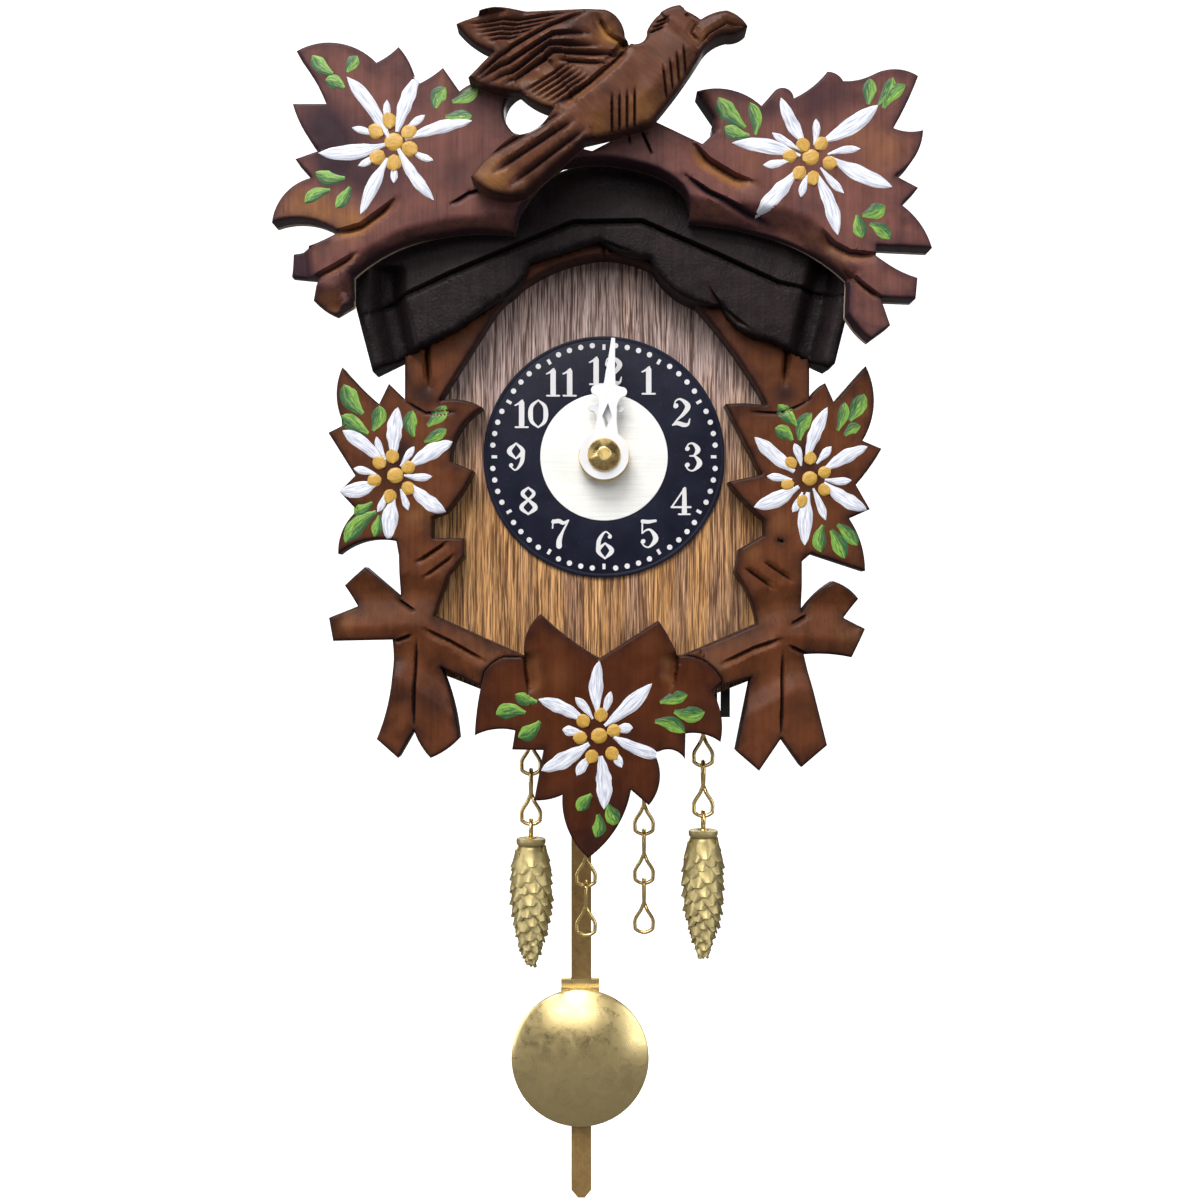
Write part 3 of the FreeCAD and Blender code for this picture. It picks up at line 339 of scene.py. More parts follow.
# ---- hour numerals ----
# Pen strokes in a box one unit high: each corner is (x, height, pen width).
NUMERALS = {
    "0": [[(0.36, 0.98, 0.05), (0.14, 0.78, 0.13), (0.09, 0.5, 0.17), (0.14, 0.22, 0.13), (0.36, 0.02, 0.05)],
          [(0.36, 0.98, 0.05), (0.58, 0.78, 0.13), (0.63, 0.5, 0.17), (0.58, 0.22, 0.13), (0.36, 0.02, 0.05)]],
    "1": [[(0.36, 0.1, 0.19), (0.36, 0.88, 0.19)], [(0.14, 0.03, 0.06), (0.58, 0.03, 0.06)],
          [(0.13, 0.80, 0.05), (0.25, 0.86, 0.07), (0.38, 0.97, 0.07)]],
    "2": [[(0.17, 0.73, 0.16), (0.19, 0.75, 0.16)],
          [(0.12, 0.74, 0.05), (0.18, 0.92, 0.05), (0.36, 0.97, 0.08), (0.60, 0.74, 0.19), (0.46, 0.47, 0.13),
           (0.22, 0.24, 0.06), (0.08, 0.07, 0.05)],
          [(0.07, 0.07, 0.06), (0.24, 0.13, 0.14), (0.46, 0.07, 0.15), (0.61, 0.10, 0.09), (0.67, 0.28, 0.04)]],
    "3": [[(0.16, 0.78, 0.15), (0.18, 0.79, 0.15)], [(0.16, 0.21, 0.15), (0.18, 0.22, 0.15)],
          [(0.12, 0.80, 0.05), (0.22, 0.95, 0.05), (0.38, 0.96, 0.08), (0.54, 0.75, 0.18), (0.40, 0.55, 0.06),
              (0.26, 0.53, 0.05)],
          [(0.28, 0.53, 0.05), (0.44, 0.51, 0.08), (0.60, 0.27, 0.19), (0.40, 0.03, 0.07), (0.22, 0.04, 0.05),
              (0.10, 0.2, 0.05)]],
    "4": [[(0.48, 0.1, 0.18), (0.48, 0.9, 0.14)], [(0.28, 0.03, 0.06), (0.67, 0.03, 0.06)],
          [(0.50, 0.96, 0.06), (0.04, 0.29, 0.06)], [(0.03, 0.28, 0.07), (0.70, 0.28, 0.07)]],
    "5": [[(0.14, 0.92, 0.13), (0.34, 0.90, 0.13), (0.60, 0.94, 0.09)], [(0.14, 0.95, 0.06), (0.13, 0.50, 0.05)],
          [(0.13, 0.50, 0.05), (0.28, 0.61, 0.06), (0.44, 0.60, 0.09), (0.61, 0.31, 0.19), (0.40, 0.03, 0.07),
           (0.22, 0.04, 0.05), (0.10, 0.19, 0.05)], [(0.16, 0.21, 0.15), (0.17, 0.22, 0.15)]],
    "6": [[(0.38, 0.57, 0.05), (0.14, 0.30, 0.15), (0.37, 0.02, 0.05)],
        [(0.38, 0.57, 0.05), (0.61, 0.30, 0.17), (0.37, 0.02, 0.05)],
          [(0.13, 0.30, 0.15), (0.17, 0.68, 0.14), (0.38, 0.96, 0.06), (0.56, 0.86, 0.05)], [(0.55, 0.80, 0.14),
              (0.54, 0.79, 0.14)]],
    "7": [[(0.10, 0.90, 0.13), (0.30, 0.93, 0.15), (0.46, 0.86, 0.12), (0.64, 0.95, 0.06)],
        [(0.10, 0.97, 0.05), (0.08, 0.68, 0.05)],
          [(0.64, 0.94, 0.05), (0.44, 0.56, 0.09), (0.32, 0.26, 0.18), (0.31, 0.05, 0.20)]],
    "8": [[(0.36, 0.97, 0.06), (0.16, 0.76, 0.14), (0.36, 0.53, 0.08)],
        [(0.36, 0.97, 0.06), (0.56, 0.76, 0.12), (0.36, 0.53, 0.08)],
          [(0.36, 0.54, 0.08), (0.12, 0.27, 0.15), (0.36, 0.03, 0.06)], [(0.36, 0.54, 0.08), (0.61, 0.27, 0.17),
              (0.36, 0.03, 0.06)]],
}
NUMERALS["9"] = [[(DIGIT_WIDTH - x, 1 - z, w) for x, z, w in stroke] for stroke in NUMERALS["6"]]


# ---- mesh helpers ----
def smooth_edges(mesh, angle=38.0):
    """Shades a mesh smooth, with its edges over the angle left sharp."""
    mesh.shade_smooth()
    mesh.set_sharp_from_angle(angle=math.radians(angle))


def new_piece(name, points, faces, materials, angle=38.0):
    """A mesh object from points in millimetres."""
    mesh = bpy.data.meshes.new(name)
    mesh.from_pydata([Vector(p) * MM for p in points], [], [tuple(int(i) for i in f) for f in faces])
    mesh.validate()
    obj = linked(name, mesh)
    for material in materials:
        mesh.materials.append(material)
    smooth_edges(mesh, angle)
    return obj


def linked(name, data):
    """A new object in the scene."""
    obj = bpy.data.objects.new(name, data)
    bpy.context.scene.collection.objects.link(obj)
    return obj


def outward(obj):
    """Turns every face of a closed mesh outwards, after merging its doubles."""
    shape = bmesh.new()
    shape.from_mesh(obj.data)
    bmesh.ops.remove_doubles(shape, verts=shape.verts, dist=0.0005 * MM)
    bmesh.ops.recalc_face_normals(shape, faces=shape.faces)
    shape.to_mesh(obj.data)
    shape.free()


def baked(obj):
    """Turns an object with modifiers into a plain mesh."""
    graph = bpy.context.evaluated_depsgraph_get()
    mesh = bpy.data.meshes.new_from_object(obj.evaluated_get(graph), depsgraph=graph)
    mesh.name = obj.name
    obj.modifiers.clear()
    obj.data = mesh
    return obj


def write_attribute(mesh, name, values):
    layer = mesh.attributes.new(name, "FLOAT", "POINT")
    layer.data.foreach_set("value", np.asarray(values, np.float32))


def finish_piece(obj, body, nodes=()):
    """Rides the piece on its body and stands it for its CAD nodes."""
    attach(obj, body)
    if nodes:
        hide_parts(*nodes)
    return obj


def body_of(node):
    return frame["nodes"][node]["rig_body"]


def copy_of(node):
    """A merged copy of a CAD node's mesh, with its flat faces made whole."""
    shape = bmesh.new()
    shape.from_mesh(frame["nodes"][node].data)
    bmesh.ops.remove_doubles(shape, verts=shape.verts, dist=0.002 * MM)
    bmesh.ops.dissolve_limit(
        shape, angle_limit=math.radians(1.0), verts=shape.verts, edges=shape.edges
    )
    mesh = bpy.data.meshes.new(node + "_finished")
    shape.to_mesh(mesh)
    shape.free()
    return linked(node + "_finished", mesh)


def softened(node, width, slot, steps=2):
    """The CAD shape with its sharp edges broken, standing for its node."""
    obj = copy_of(node)
    obj.data.materials.clear()
    obj.data.materials.append(MATERIALS[slot])
    bevel = obj.modifiers.new("edges", "BEVEL")
    bevel.width = width * MM
    bevel.segments = steps
    bevel.limit_method = "ANGLE"
    bevel.angle_limit = math.radians(32)
    bevel.use_clamp_overlap = True
    smooth_edges(obj.data, 60)
    evened = obj.modifiers.new("normals", "WEIGHTED_NORMAL")
    evened.keep_sharp = True
    baked(obj)
    return finish_piece(obj, body_of(node), [node])


# ---- relief carving ----
def closed_chains(onward):
    """Closed loops of points from {point: the next point}, which is used up."""
    loops = []
    while onward:
        start, step = onward.popitem()
        loop = [start]
        while step != start:
            loop.append(step)
            step = onward.pop(step)
        loops.append(loop)
    return loops


def chain_edges(loops):
    """The edges of closed loops whose points are counted on from one loop to the next."""
    edges, first = [], 0
    for loop in loops:
        count = len(loop)
        edges += [(first + i, first + (i + 1) % count) for i in range(count)]
        first += count
    return edges


def sideways(along):
    """Unit vectors across a row of directions."""
    return np.stack([-along[:, 1], along[:, 0]], 1) / np.linalg.norm(along, axis=1)[:, None]


def face_loops(node, level):
    """The closed outlines round the flat face of a CAD node at that depth, as (x, z) arrays."""
    mesh = frame["nodes"][node].data
    ids, places, used = {}, [], []
    for vertex in mesh.vertices:
        point = vertex.co / MM
        key = (round(point.x, 3), round(point.y, 3), round(point.z, 3))
        used.append(ids.setdefault(key, len(ids)))
        if len(ids) > len(places):
            places.append(point)
    edges = set()
    for face in mesh.polygons:
        corners = [used[i] for i in face.vertices]
        if all(abs(places[i].y - level) < 0.01 for i in corners):
            edges |= {(a, b) for a, b in zip(corners, corners[1:] + corners[:1]) if a != b}
    onward = {a: b for a, b in edges if (b, a) not in edges}
    return [np.array([(places[i].x, places[i].z) for i in loop]) for loop in closed_chains(onward)]


def stepped(line, step, closed=False):
    """Points along a polyline no further apart than the step."""
    line = np.asarray(line, float)
    ends = np.vstack([line, line[:1]]) if closed else line
    points = []
    for a, b in zip(ends[:-1], ends[1:]):
        count = max(1, int(np.ceil(np.linalg.norm(b - a) / step)))
        points += [a + (b - a) * i / count for i in range(count)]
    if not closed:
        points.append(ends[-1])
    return np.array(points)


def outlines_of(name):
    """A carving's outlines, with a point every 0.45 mm."""
    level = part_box(name)[0].y / MM if name == "gable_fascia" else CARVINGS[name]["back"]
    return [stepped(loop, 0.45, closed=True) for loop in face_loops(name, level)]


def beside(points, line):
    """Distance to a polyline, which side of it each point is on, and how far along it is, 0 to 1."""
    line = np.asarray(line, float)
    lengths = np.linalg.norm(np.diff(line, axis=0), axis=1)
    total, passed = lengths.sum(), 0.0
    best = np.full(len(points), 1e9)
    side, share = np.zeros(len(points)), np.zeros(len(points))
    for a, b, length in zip(line[:-1], line[1:], lengths):
        along = (b - a) / length
        rel = points - a
        t = np.clip(rel @ along, 0, length)
        gap = np.linalg.norm(rel - np.outer(t, along), axis=1)
        nearer = gap < best - 1e-9
        best[nearer] = gap[nearer]
        side[nearer] = np.sign(along[0] * rel[:, 1] - along[1] * rel[:, 0])[nearer]
        share[nearer] = ((passed + t) / total)[nearer]
        passed += length
    return best, side, share


def inside(points, loops):
    """Which points lie inside the outlines, by counting crossings."""
    odd = np.zeros(len(points), bool)
    x, z = points[:, 0], points[:, 1]
    for loop in loops:
        for (x0, z0), (x1, z1) in zip(loop, np.roll(loop, -1, axis=0)):
            if z0 == z1:
                continue
            crosses = (z0 > z) != (z1 > z)
            odd ^= crosses & (x < x0 + (z - z0) * (x1 - x0) / (z1 - z0))
    return odd


def to_outline(points, loops):
    gaps = [beside(points, np.vstack([loop, loop[:1]]))[0] for loop in loops]
    return np.min(gaps, axis=0)


def fan_lines(count, first, last):
    """Lines spread evenly from the first to the last, which have as many corners as each other."""
    first, last = np.array(first, float), np.array(last, float)
    return [first + (last - first) * i / (count - 1) for i in range(count)]


def all_cuts(plan):
    """Every cut of a carving, with its fans spread into single cuts."""
    rows = [tuple(row) for row in plan["cuts"]]
    for depth, left, right, tone, count, first, last in plan["fans"]:
        rows += [(depth, left, right, tone, line) for line in fan_lines(count, first, last)]
    return rows


def tapered(share):
    """A tool cut runs in and out at its ends."""
    return np.clip(np.minimum(share, 1 - share) / 0.22, 0.12, 1.0) ** 0.6


def relief(plan, loops, points):
    """Height above the back, the tone (stain, with painted shade in the cuts and patches) and how near the rim each
    point is.
    """
    rim = to_outline(points, loops)
    tone = np.zeros(len(points))
    drop = np.zeros(len(points))
    for slope_left, slope_right, most, hue, line in plan["falls"]:
        gap, side, share = beside(points, line)
        within = (share > 0.0) & (share < 1.0)
        slope = np.where(side > 0, slope_left, slope_right)
        fall = np.where(within, np.minimum(gap * slope, most), 0.0)
        fade = np.clip(1 - gap / (most / max(slope_left, slope_right) + 4.0), 0, 1)
        fall *= np.clip(fade * 3, 0, 1)
        drop = np.maximum(drop, fall)
        tone += hue * np.clip(fall / most * 1.6, 0, 1)
    for depth, left, right, hue, line in all_cuts(plan):
        gap, side, share = beside(points, line)
        reach = np.where(side > 0, left, right)
        near = np.clip(1 - gap / reach, 0, 1) * tapered(share)
        drop = drop + depth * near ** 1.2
        tone += hue * np.clip(near * 1.7, 0, 1)
        # Each cut's own line is darkened: painted shade in the groove.
        tone -= 1.1 * np.clip(1 - gap / 0.28, 0, 1) * tapered(share) * min(depth, 1.2)
    # Shade patches lay painted tone: the dark is partly airbrushed stain and partly painted shade.
    for x, z, radius, hue in plan["shade"]:
        gap = np.hypot(points[:, 0] - x, points[:, 1] - z)
        tone += hue * np.exp(-((gap / radius) ** 2) * 1.6)
    radius = plan["round"]
    edge = np.clip(radius - rim, 0, radius)
    drop = drop + radius - np.sqrt(np.maximum(radius**2 - edge**2, 0))
    waver = np.array([noise.noise(Vector((x * 0.45, z * 0.45, 3.1))) for x, z in points])
    drop = drop + 0.09 * (waver + 0.6) * np.clip(rim / 0.8, 0, 1)
    height = np.maximum(plan["height"] - drop, plan["height"] * 0.25)
    return height, np.clip(tone, -1.2, 1.2), rim


def lapped(name, points, height):
    """The surround is pared down where the fascia laps over it."""
    if not name.startswith("surround"):
        return height
    fascia = face_loops("gable_fascia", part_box("gable_fascia")[0].y / MM)
    under = inside(points, fascia) & (to_outline(points, fascia) > CLEAR_OF_FASCIA)
    return np.where(under, FASCIA_LAP, height)


def filled(points, loops):
    """Triangles that fill the outlines through the points; the outlines come first and in order."""
    made = delaunay_2d_cdt([Vector(p) for p in points], chain_edges(loops), [], 0, 1e-4)
    places = np.array([(v.x, v.y) for v in made[0]])
    faces = np.array([f for f in made[2]])
    keep = inside(places[faces].mean(axis=1), loops)
    return places, faces[keep]


def carve(name, grid):
    """A closed carved piece whose top follows its plan's relief and whose back is flat."""
    plan = CARVINGS[name]
    loops = outlines_of(name)
    low, high = np.vstack(loops).min(0), np.vstack(loops).max(0)
    rows = int((high[1] - low[1]) / (grid * 0.866)) + 1
    lattice = [
        (low[0] + grid * (i + 0.5 * (j % 2)), low[1] + grid * 0.866 * j)
        for j in range(rows) for i in range(int((high[0] - low[0]) / grid) + 2)
    ]
    lattice = np.array(lattice)
    lattice = lattice[inside(lattice, loops)]
    lattice = lattice[to_outline(lattice, loops) > plan["round"] + grid * 0.45]
    layers = [np.vstack(loops), lattice]
    for share in (0.14, 0.4, 0.75, 1.0):
        inset = share * plan["round"]
        for loop in loops:
            normal = sideways(np.roll(loop, -1, axis=0) - np.roll(loop, 1, axis=0))
            for sign in (1, -1):
                shifted = loop + normal * inset * sign
                shifted = shifted[inside(shifted, loops)]
                if len(shifted):
                    layers.append(shifted[to_outline(shifted, loops) > inset * 0.93])
    for _, left, right, _, line in all_cuts(plan):
        centre = stepped(line, 0.4)
        normal = sideways(np.gradient(centre, axis=0))
        for offset in (0.0, left * 0.5, left, -right * 0.5, -right):
            row = centre + normal * offset
            row = row[inside(row, loops)]
            if len(row):
                layers.append(row[to_outline(row, loops) > 0.25])
    points, faces = filled(np.vstack(layers), loops)
    height, tone, rim = relief(plan, loops, points)
    height = lapped(name, points, height)
    back = plan["back"]
    top = [(x, back - h, z) for (x, z), h in zip(points, height)]
    corners = points[faces]
    area = np.cross(corners[:, 1] - corners[:, 0], corners[:, 2] - corners[:, 0])
    faces = np.where((area < 0)[:, None], faces[:, ::-1], faces)
    directed = {(int(a), int(b)) for f in faces for a, b in zip(f, np.roll(f, -1))}
    border = [(a, b) for a, b in directed if (b, a) not in directed]
    ring = sorted({a for a, _ in border})
    place = {v: i for i, v in enumerate(ring)}
    verts, walls = list(top), []
    bands = (0.3, 0.72, 0.8, 1.0)
    wall_share = [0.0] * len(top)
    for band in bands:
        verts += [(points[v][0], back - height[v] * (1 - band), points[v][1]) for v in ring]
        wall_share += [band] * len(ring)
    for k in range(len(bands)):
        first, below = len(top) + (k - 1) * len(ring), len(top) + k * len(ring)
        for a, b in border:
            upper = (a, b) if k == 0 else (first + place[a], first + place[b])
            walls.append((upper[1], upper[0], below + place[a], below + place[b]))
    base = len(top) + (len(bands) - 1) * len(ring)
    back_loops = closed_chains(dict(border))
    flat = [points[loop] for loop in back_loops]
    order = [v for loop in back_loops for v in loop]
    _, back_faces = filled(np.vstack(flat), flat)
    back_faces = [tuple(base + place[order[i]] for i in f) for f in back_faces]
    obj = new_piece(name + "_carved", verts, list(map(tuple, faces)) + walls + back_faces,
                    [MATERIALS[plan["slot"]]], 50)
    padding = len(verts) - len(top)
    write_attribute(obj.data, "tone", list(tone) + [tone[v] for _ in bands for v in ring])
    write_attribute(obj.data, "rim", list(np.exp(-rim / 0.55)) + [1.0] * padding)
    write_attribute(obj.data, "wall", wall_share)
    outward(obj)
    smooth_edges(obj.data, 50)
    return finish_piece(obj, "root", [name])


# ---- painted strokes ----
class PaintLayer:
    """Collects strokes that lie on one carving, with a map along and across each stroke."""

    def __init__(self, name):
        self.plan = CARVINGS[name]
        self.loops = outlines_of(name)
        self.flat, self.rise, self.uv, self.faces, self.finish, self.seed = [], [], [], [], [], []

    def add(self, spine, widths, finish, thickness, lift, seed):
        """A domed stroke along a spine."""
        across = np.linspace(-1, 1, 7)
        spine = np.array(spine, float)
        normal = sideways(np.gradient(spine, axis=0))
        first = len(self.flat)
        for i, (centre, side, width) in enumerate(zip(spine, normal, widths)):
            for v in across:
                self.flat.append(centre + side * width * v / 2)
                self.rise.append(lift + thickness * (1 - v**4) if abs(v) < 1 else -0.05)
                self.uv.append((i / (len(spine) - 1), v / 2 + 0.5))
                self.seed.append(seed)
        n = len(across)
        for i in range(len(spine) - 1):
            for j in range(n - 1):
                a = first + i * n + j
                self.faces.append((a, a + 1, a + n + 1, a + n))
                self.finish.append(finish)

    def build(self, name, materials):
        points = np.array(self.flat)
        rim = to_outline(points, self.loops)
        out = ~inside(points, self.loops)
        stray = out | (rim < 0.12)
        anchors = np.vstack(self.loops)
        for i in np.nonzero(stray)[0]:
            nearest = anchors[np.argmin(np.linalg.norm(anchors - points[i], axis=1))]
            gap = max(np.linalg.norm(points[i] - nearest), 1e-6)
            inward = (nearest - points[i]) / gap if out[i] else (points[i] - nearest) / gap
            points[i] = nearest + inward * 0.12
        height = relief(self.plan, self.loops, points)[0]
        verts = [
            (x, self.plan["back"] - h - r, z)
            for (x, z), h, r in zip(points, height, self.rise)
        ]
        obj = new_piece(name, verts, self.faces, materials, 80)
        if len(obj.data.polygons) == len(self.finish):
            obj.data.polygons.foreach_set("material_index", self.finish)
        layer = obj.data.uv_layers.new(name="stroke")
        for loop in obj.data.loops:
            layer.data[loop.index].uv = self.uv[loop.vertex_index]
        write_attribute(obj.data, "seed", self.seed)
        front = sum(p.normal.y * p.area for p in obj.data.polygons)
        if front > 0:
            obj.data.flip_normals()
        return finish_piece(obj, "root")


WHITE, YELLOW, GREEN = 0, 1, 2


def brush_spine(x0, z0, x1, z1, bend, steps):
    """A slightly bent line from a stroke's root to its tip."""
    t = np.linspace(0, 1, steps)
    start, end = np.array((x0, z0)), np.array((x1, z1))
    side = np.array((-(end - start)[1], (end - start)[0]))
    return start + np.outer(t, end - start) + np.outer(np.sin(t * math.pi) * bend, side)


def brush_widths(width, steps, shape, ripple, seed):
    """Widths along a stroke: shape is where it is widest, with a rippled outline."""
    t = np.linspace(0, 1, steps)
    rise = np.where(t < shape, 0.26 + 0.74 * np.sin(t / shape * math.pi / 2) ** 1.4, 0)
    fall = np.where(t >= shape, np.maximum(np.cos((t - shape) / (1 - shape) * math.pi / 2), 0) ** 0.72, 0)
    waves = np.array([noise.noise(Vector((seed * 3.7, v * 5.5, 0.5))) for v in t])
    return np.maximum(width * (rise + fall) * (1 + ripple * waves), 0.08)


def paint_flowers(name):
    layer = PaintLayer(name)
    for which, flower in enumerate(FLOWERS[name]):
        seed = which * 50 + len(name)
        for x0, z0, x1, z1, width in flower["greens"]:
            seed += 1
            bend = 0.12 * math.sin(seed * 2.3)
            spine = brush_spine(x1, z1, x0, z0, bend, 13)
            layer.add(spine, brush_widths(width * 1.22, 13, 0.62, 0.12, seed), GREEN, 0.04, 0.01, seed)
        cx, cz = flower["centre"]
        for kind, shape, ripple in (("sepals", 0.66, 0.1), ("petals", 0.56, 0.26)):
            for x0, z0, x1, z1, width in flower[kind]:
                seed += 1
                x0, z0 = x0 + (cx - x0) * 0.3, z0 + (cz - z0) * 0.3
                spine = brush_spine(x0, z0, x1, z1, 0.05 * math.sin(seed * 1.7), 19)
                lift = 0.03 if kind == "sepals" else 0.05
                layer.add(spine, brush_widths(width, 19, shape, ripple, seed), WHITE, 0.1, lift, seed)
        for x, z in flower["dots"] + [flower["centre"]]:
            seed += 1
            size = flower["size"] * (0.86 if (x, z) != flower["centre"] else 1.0)
            t = np.linspace(-1, 1, 11)
            lean = math.atan2(z - cz, x - cx) if (x, z) != flower["centre"] else 0.4
            spine = np.array((x, z)) + np.outer(t * size * 1.05, (math.cos(lean), math.sin(lean)))
            widths = 2.1 * size * np.sqrt(np.maximum(1 - t**2, 0.004))
            layer.add(spine, widths, YELLOW, 0.12, 0.12, seed)
    materials = [MATERIALS["paint_white"], MATERIALS["paint_yellow"], MATERIALS["paint_green"]]
    return layer.build("paint_" + name, materials)


# ---- shader helpers ----
def plug(tree, item, inputs):
    """Fills a node's inputs, given as {name: value or another node's output}."""
    for key, value in inputs.items():
        if isinstance(value, bpy.types.NodeSocket):
            tree.links.new(value, item.inputs[key])
        else:
            item.inputs[key].default_value = value
    return item


def node(tree, kind, inputs=None, prefix="GeometryNode", **settings):
    """A node with its settings and inputs."""
    item = tree.nodes.new(prefix + kind)
    for key, value in settings.items():
        setattr(item, key, value)
    return plug(tree, item, inputs or {})


def add(tree, kind, inputs=None, **settings):
    return node(tree, kind, inputs, "ShaderNode", **settings)


def calc(tree, operation, *values, clamp=False):
    """A math node."""
    return add(tree, "Math", dict(enumerate(values)), operation=operation, use_clamp=clamp).outputs[0]


def times(tree, first, second, clamp=False):
    return calc(tree, "MULTIPLY", first, second, clamp=clamp)


def plus(tree, first, second, clamp=False):
    return calc(tree, "ADD", first, second, clamp=clamp)


def axis_of(tree, place, axis):
    """One coordinate of a place: 0 for X, 1 for Y, 2 for Z."""
    return add(tree, "SeparateXYZ", {0: place}).outputs[axis]


def rgba(colour):
    return (*colour, 1.0) if len(colour) == 3 else tuple(colour)


def tint(tree, share, first, second):
    """One colour over another."""
    under, over = (c if isinstance(c, bpy.types.NodeSocket) else rgba(c) for c in (first, second))
    return add(tree, "Mix", {0: share, 6: under, 7: over}, data_type="RGBA", clamp_factor=True).outputs[2]


def spread(tree, value, low, high, new_low=0.0, new_high=1.0):
    """Maps a range of a value onto another, held at its ends."""
    return add(tree, "MapRange", {0: value, 1: low, 2: high, 3: new_low, 4: new_high}, clamp=True).outputs[0]


def mist(tree, place, scale, detail=4.0, roughness=0.55, distortion=0.0):
    """A noise value from 0 to 1."""
    inputs = {"Vector": place, "Scale": scale, "Detail": detail, "Roughness": roughness, "Distortion": distortion}
    return add(tree, "TexNoise", inputs).outputs[0]


def stretched(tree, place, scale, turn=(0.0, 0.0, 0.0)):
    return add(tree, "Mapping", {"Vector": place, "Scale": scale, "Rotation": turn}).outputs[0]


def new_group(name, inputs, outputs):
    """A shader node group with named inputs, given as {name: default}, and named outputs."""
    tree = bpy.data.node_groups.new(name, "ShaderNodeTree")
    for key, value in inputs.items():
        kind = "NodeSocketVector" if key == "Vector" else "NodeSocketFloat"
        socket = tree.interface.new_socket(name=key, in_out="INPUT", socket_type=kind)
        if key != "Vector":
            socket.default_value = value
    for key in outputs:
        tree.interface.new_socket(name=key, in_out="OUTPUT", socket_type="NodeSocketFloat")
    return tree, tree.nodes.new("NodeGroupInput").outputs, tree.nodes.new("NodeGroupOutput").inputs


def use(tree, group, inputs):
    """A shared effect placed in a material with its own values."""
    return add(tree, "Group", inputs, node_tree=GROUPS[group]).outputs


# ---- shared effects ----
GROUPS = {}
MATERIALS = {}


def wood_grain_group():
    """Streaks of early and late wood along Z, fine dark pores, and the height they give."""
    tree, given, out = new_group(
        "Wood Grain", {"Vector": None, "Streak Scale": 0.5, "Pore Scale": 3.0, "Pore Share": 0.5, "Wobble": 0.4},
        ("Streaks", "Pores", "Height"),
    )
    sway = mist(tree, stretched(tree, given["Vector"], (0.12, 0.12, 0.045)), 1.0, 2.0)
    shift = times(tree, sway, given["Wobble"])
    bent = add(tree, "VectorMath", {0: given["Vector"], 1: add(tree, "CombineXYZ", {0: shift, 1: shift}).outputs[0]})
    bent = bent.outputs[0]
    broad = mist(tree, stretched(tree, bent, (1.0, 1.0, 0.035)), given["Streak Scale"], 5.0, 0.62)
    fine = mist(tree, stretched(tree, bent, (1.0, 1.0, 0.02)), times(tree, given["Streak Scale"], 5.0), 3.0, 0.6)
    streaks = plus(tree, times(tree, broad, 0.62), times(tree, fine, 0.38))
    tree.links.new(spread(tree, streaks, 0.34, 0.66), out["Streaks"])
    pits = mist(tree, stretched(tree, bent, (1.0, 1.0, 0.028)), given["Pore Scale"], 2.0, 0.5)
    edge = calc(tree, "SUBTRACT", 0.86, times(tree, given["Pore Share"], 0.36))
    pores = add(tree, "MapRange", {0: pits, 1: edge, 2: plus(tree, edge, 0.07), 3: 0.0, 4: 1.0}, clamp=True)
    pores = pores.outputs[0]
    tree.links.new(pores, out["Pores"])
    height = calc(tree, "SUBTRACT", times(tree, fine, 0.35), times(tree, pores, 0.6))
    tree.links.new(height, out["Height"])
    return tree


def brushed_stain_group():
    """Uneven stain: cloudy patches, darker towards a worked rim."""
    tree, given, out = new_group(
        "Brushed Stain", {"Vector": None, "Rim": 0.0, "Cloud Scale": 0.25, "Rim Strength": 1.0}, ("Cloud", "Burn")
    )
    cloud = mist(tree, given["Vector"], given["Cloud Scale"], 4.0, 0.6, 0.4)
    tree.links.new(spread(tree, cloud, 0.32, 0.68), out["Cloud"])
    ragged = mist(tree, given["Vector"], 1.1, 3.0, 0.6)
    burn = times(tree, given["Rim"], spread(tree, ragged, 0.2, 0.8, 0.65, 1.25))
    tree.links.new(times(tree, burn, given["Rim Strength"], clamp=True), out["Burn"])
    return tree


def fine_wear_group():
    """Handling marks: hairline scratches, smudges and the height they give."""
    tree, given, out = new_group(
        "Fine Wear", {"Vector": None, "Scratch Scale": 1.2, "Smudge Scale": 0.2}, ("Scratches", "Smudges", "Height")
    )
    lines = []
    for turn in (0.5, 1.9):
        streak = mist(tree, stretched(tree, given["Vector"], (6.0, 6.0, 0.12), (0.2, turn, 0.3)),
            given["Scratch Scale"], 2.0)
        lines.append(spread(tree, streak, 0.66, 0.72))
    scratches = calc(tree, "MAXIMUM", lines[0], lines[1])
    tree.links.new(scratches, out["Scratches"])
    smudge = mist(tree, given["Vector"], given["Smudge Scale"], 5.0, 0.65, 0.8)
    tree.links.new(spread(tree, smudge, 0.35, 0.7), out["Smudges"])
    tree.links.new(times(tree, scratches, -1.0), out["Height"])
    return tree


def settled_dust_group():
    """Dust that gathers on faces that look up."""
    tree, given, out = new_group("Settled Dust", {"Vector": None, "Amount": 0.3}, ("Dust",))
    up = add(tree, "SeparateXYZ", {0: add(tree, "NewGeometry").outputs["Normal"]}).outputs[2]
    lying = spread(tree, up, 0.35, 0.95)
    specks = spread(tree, mist(tree, given["Vector"], 1.6, 6.0, 0.75), 0.42, 0.72)
    dust = times(tree, times(tree, lying, specks), given["Amount"], clamp=True)
    tree.links.new(dust, out["Dust"])
    return tree


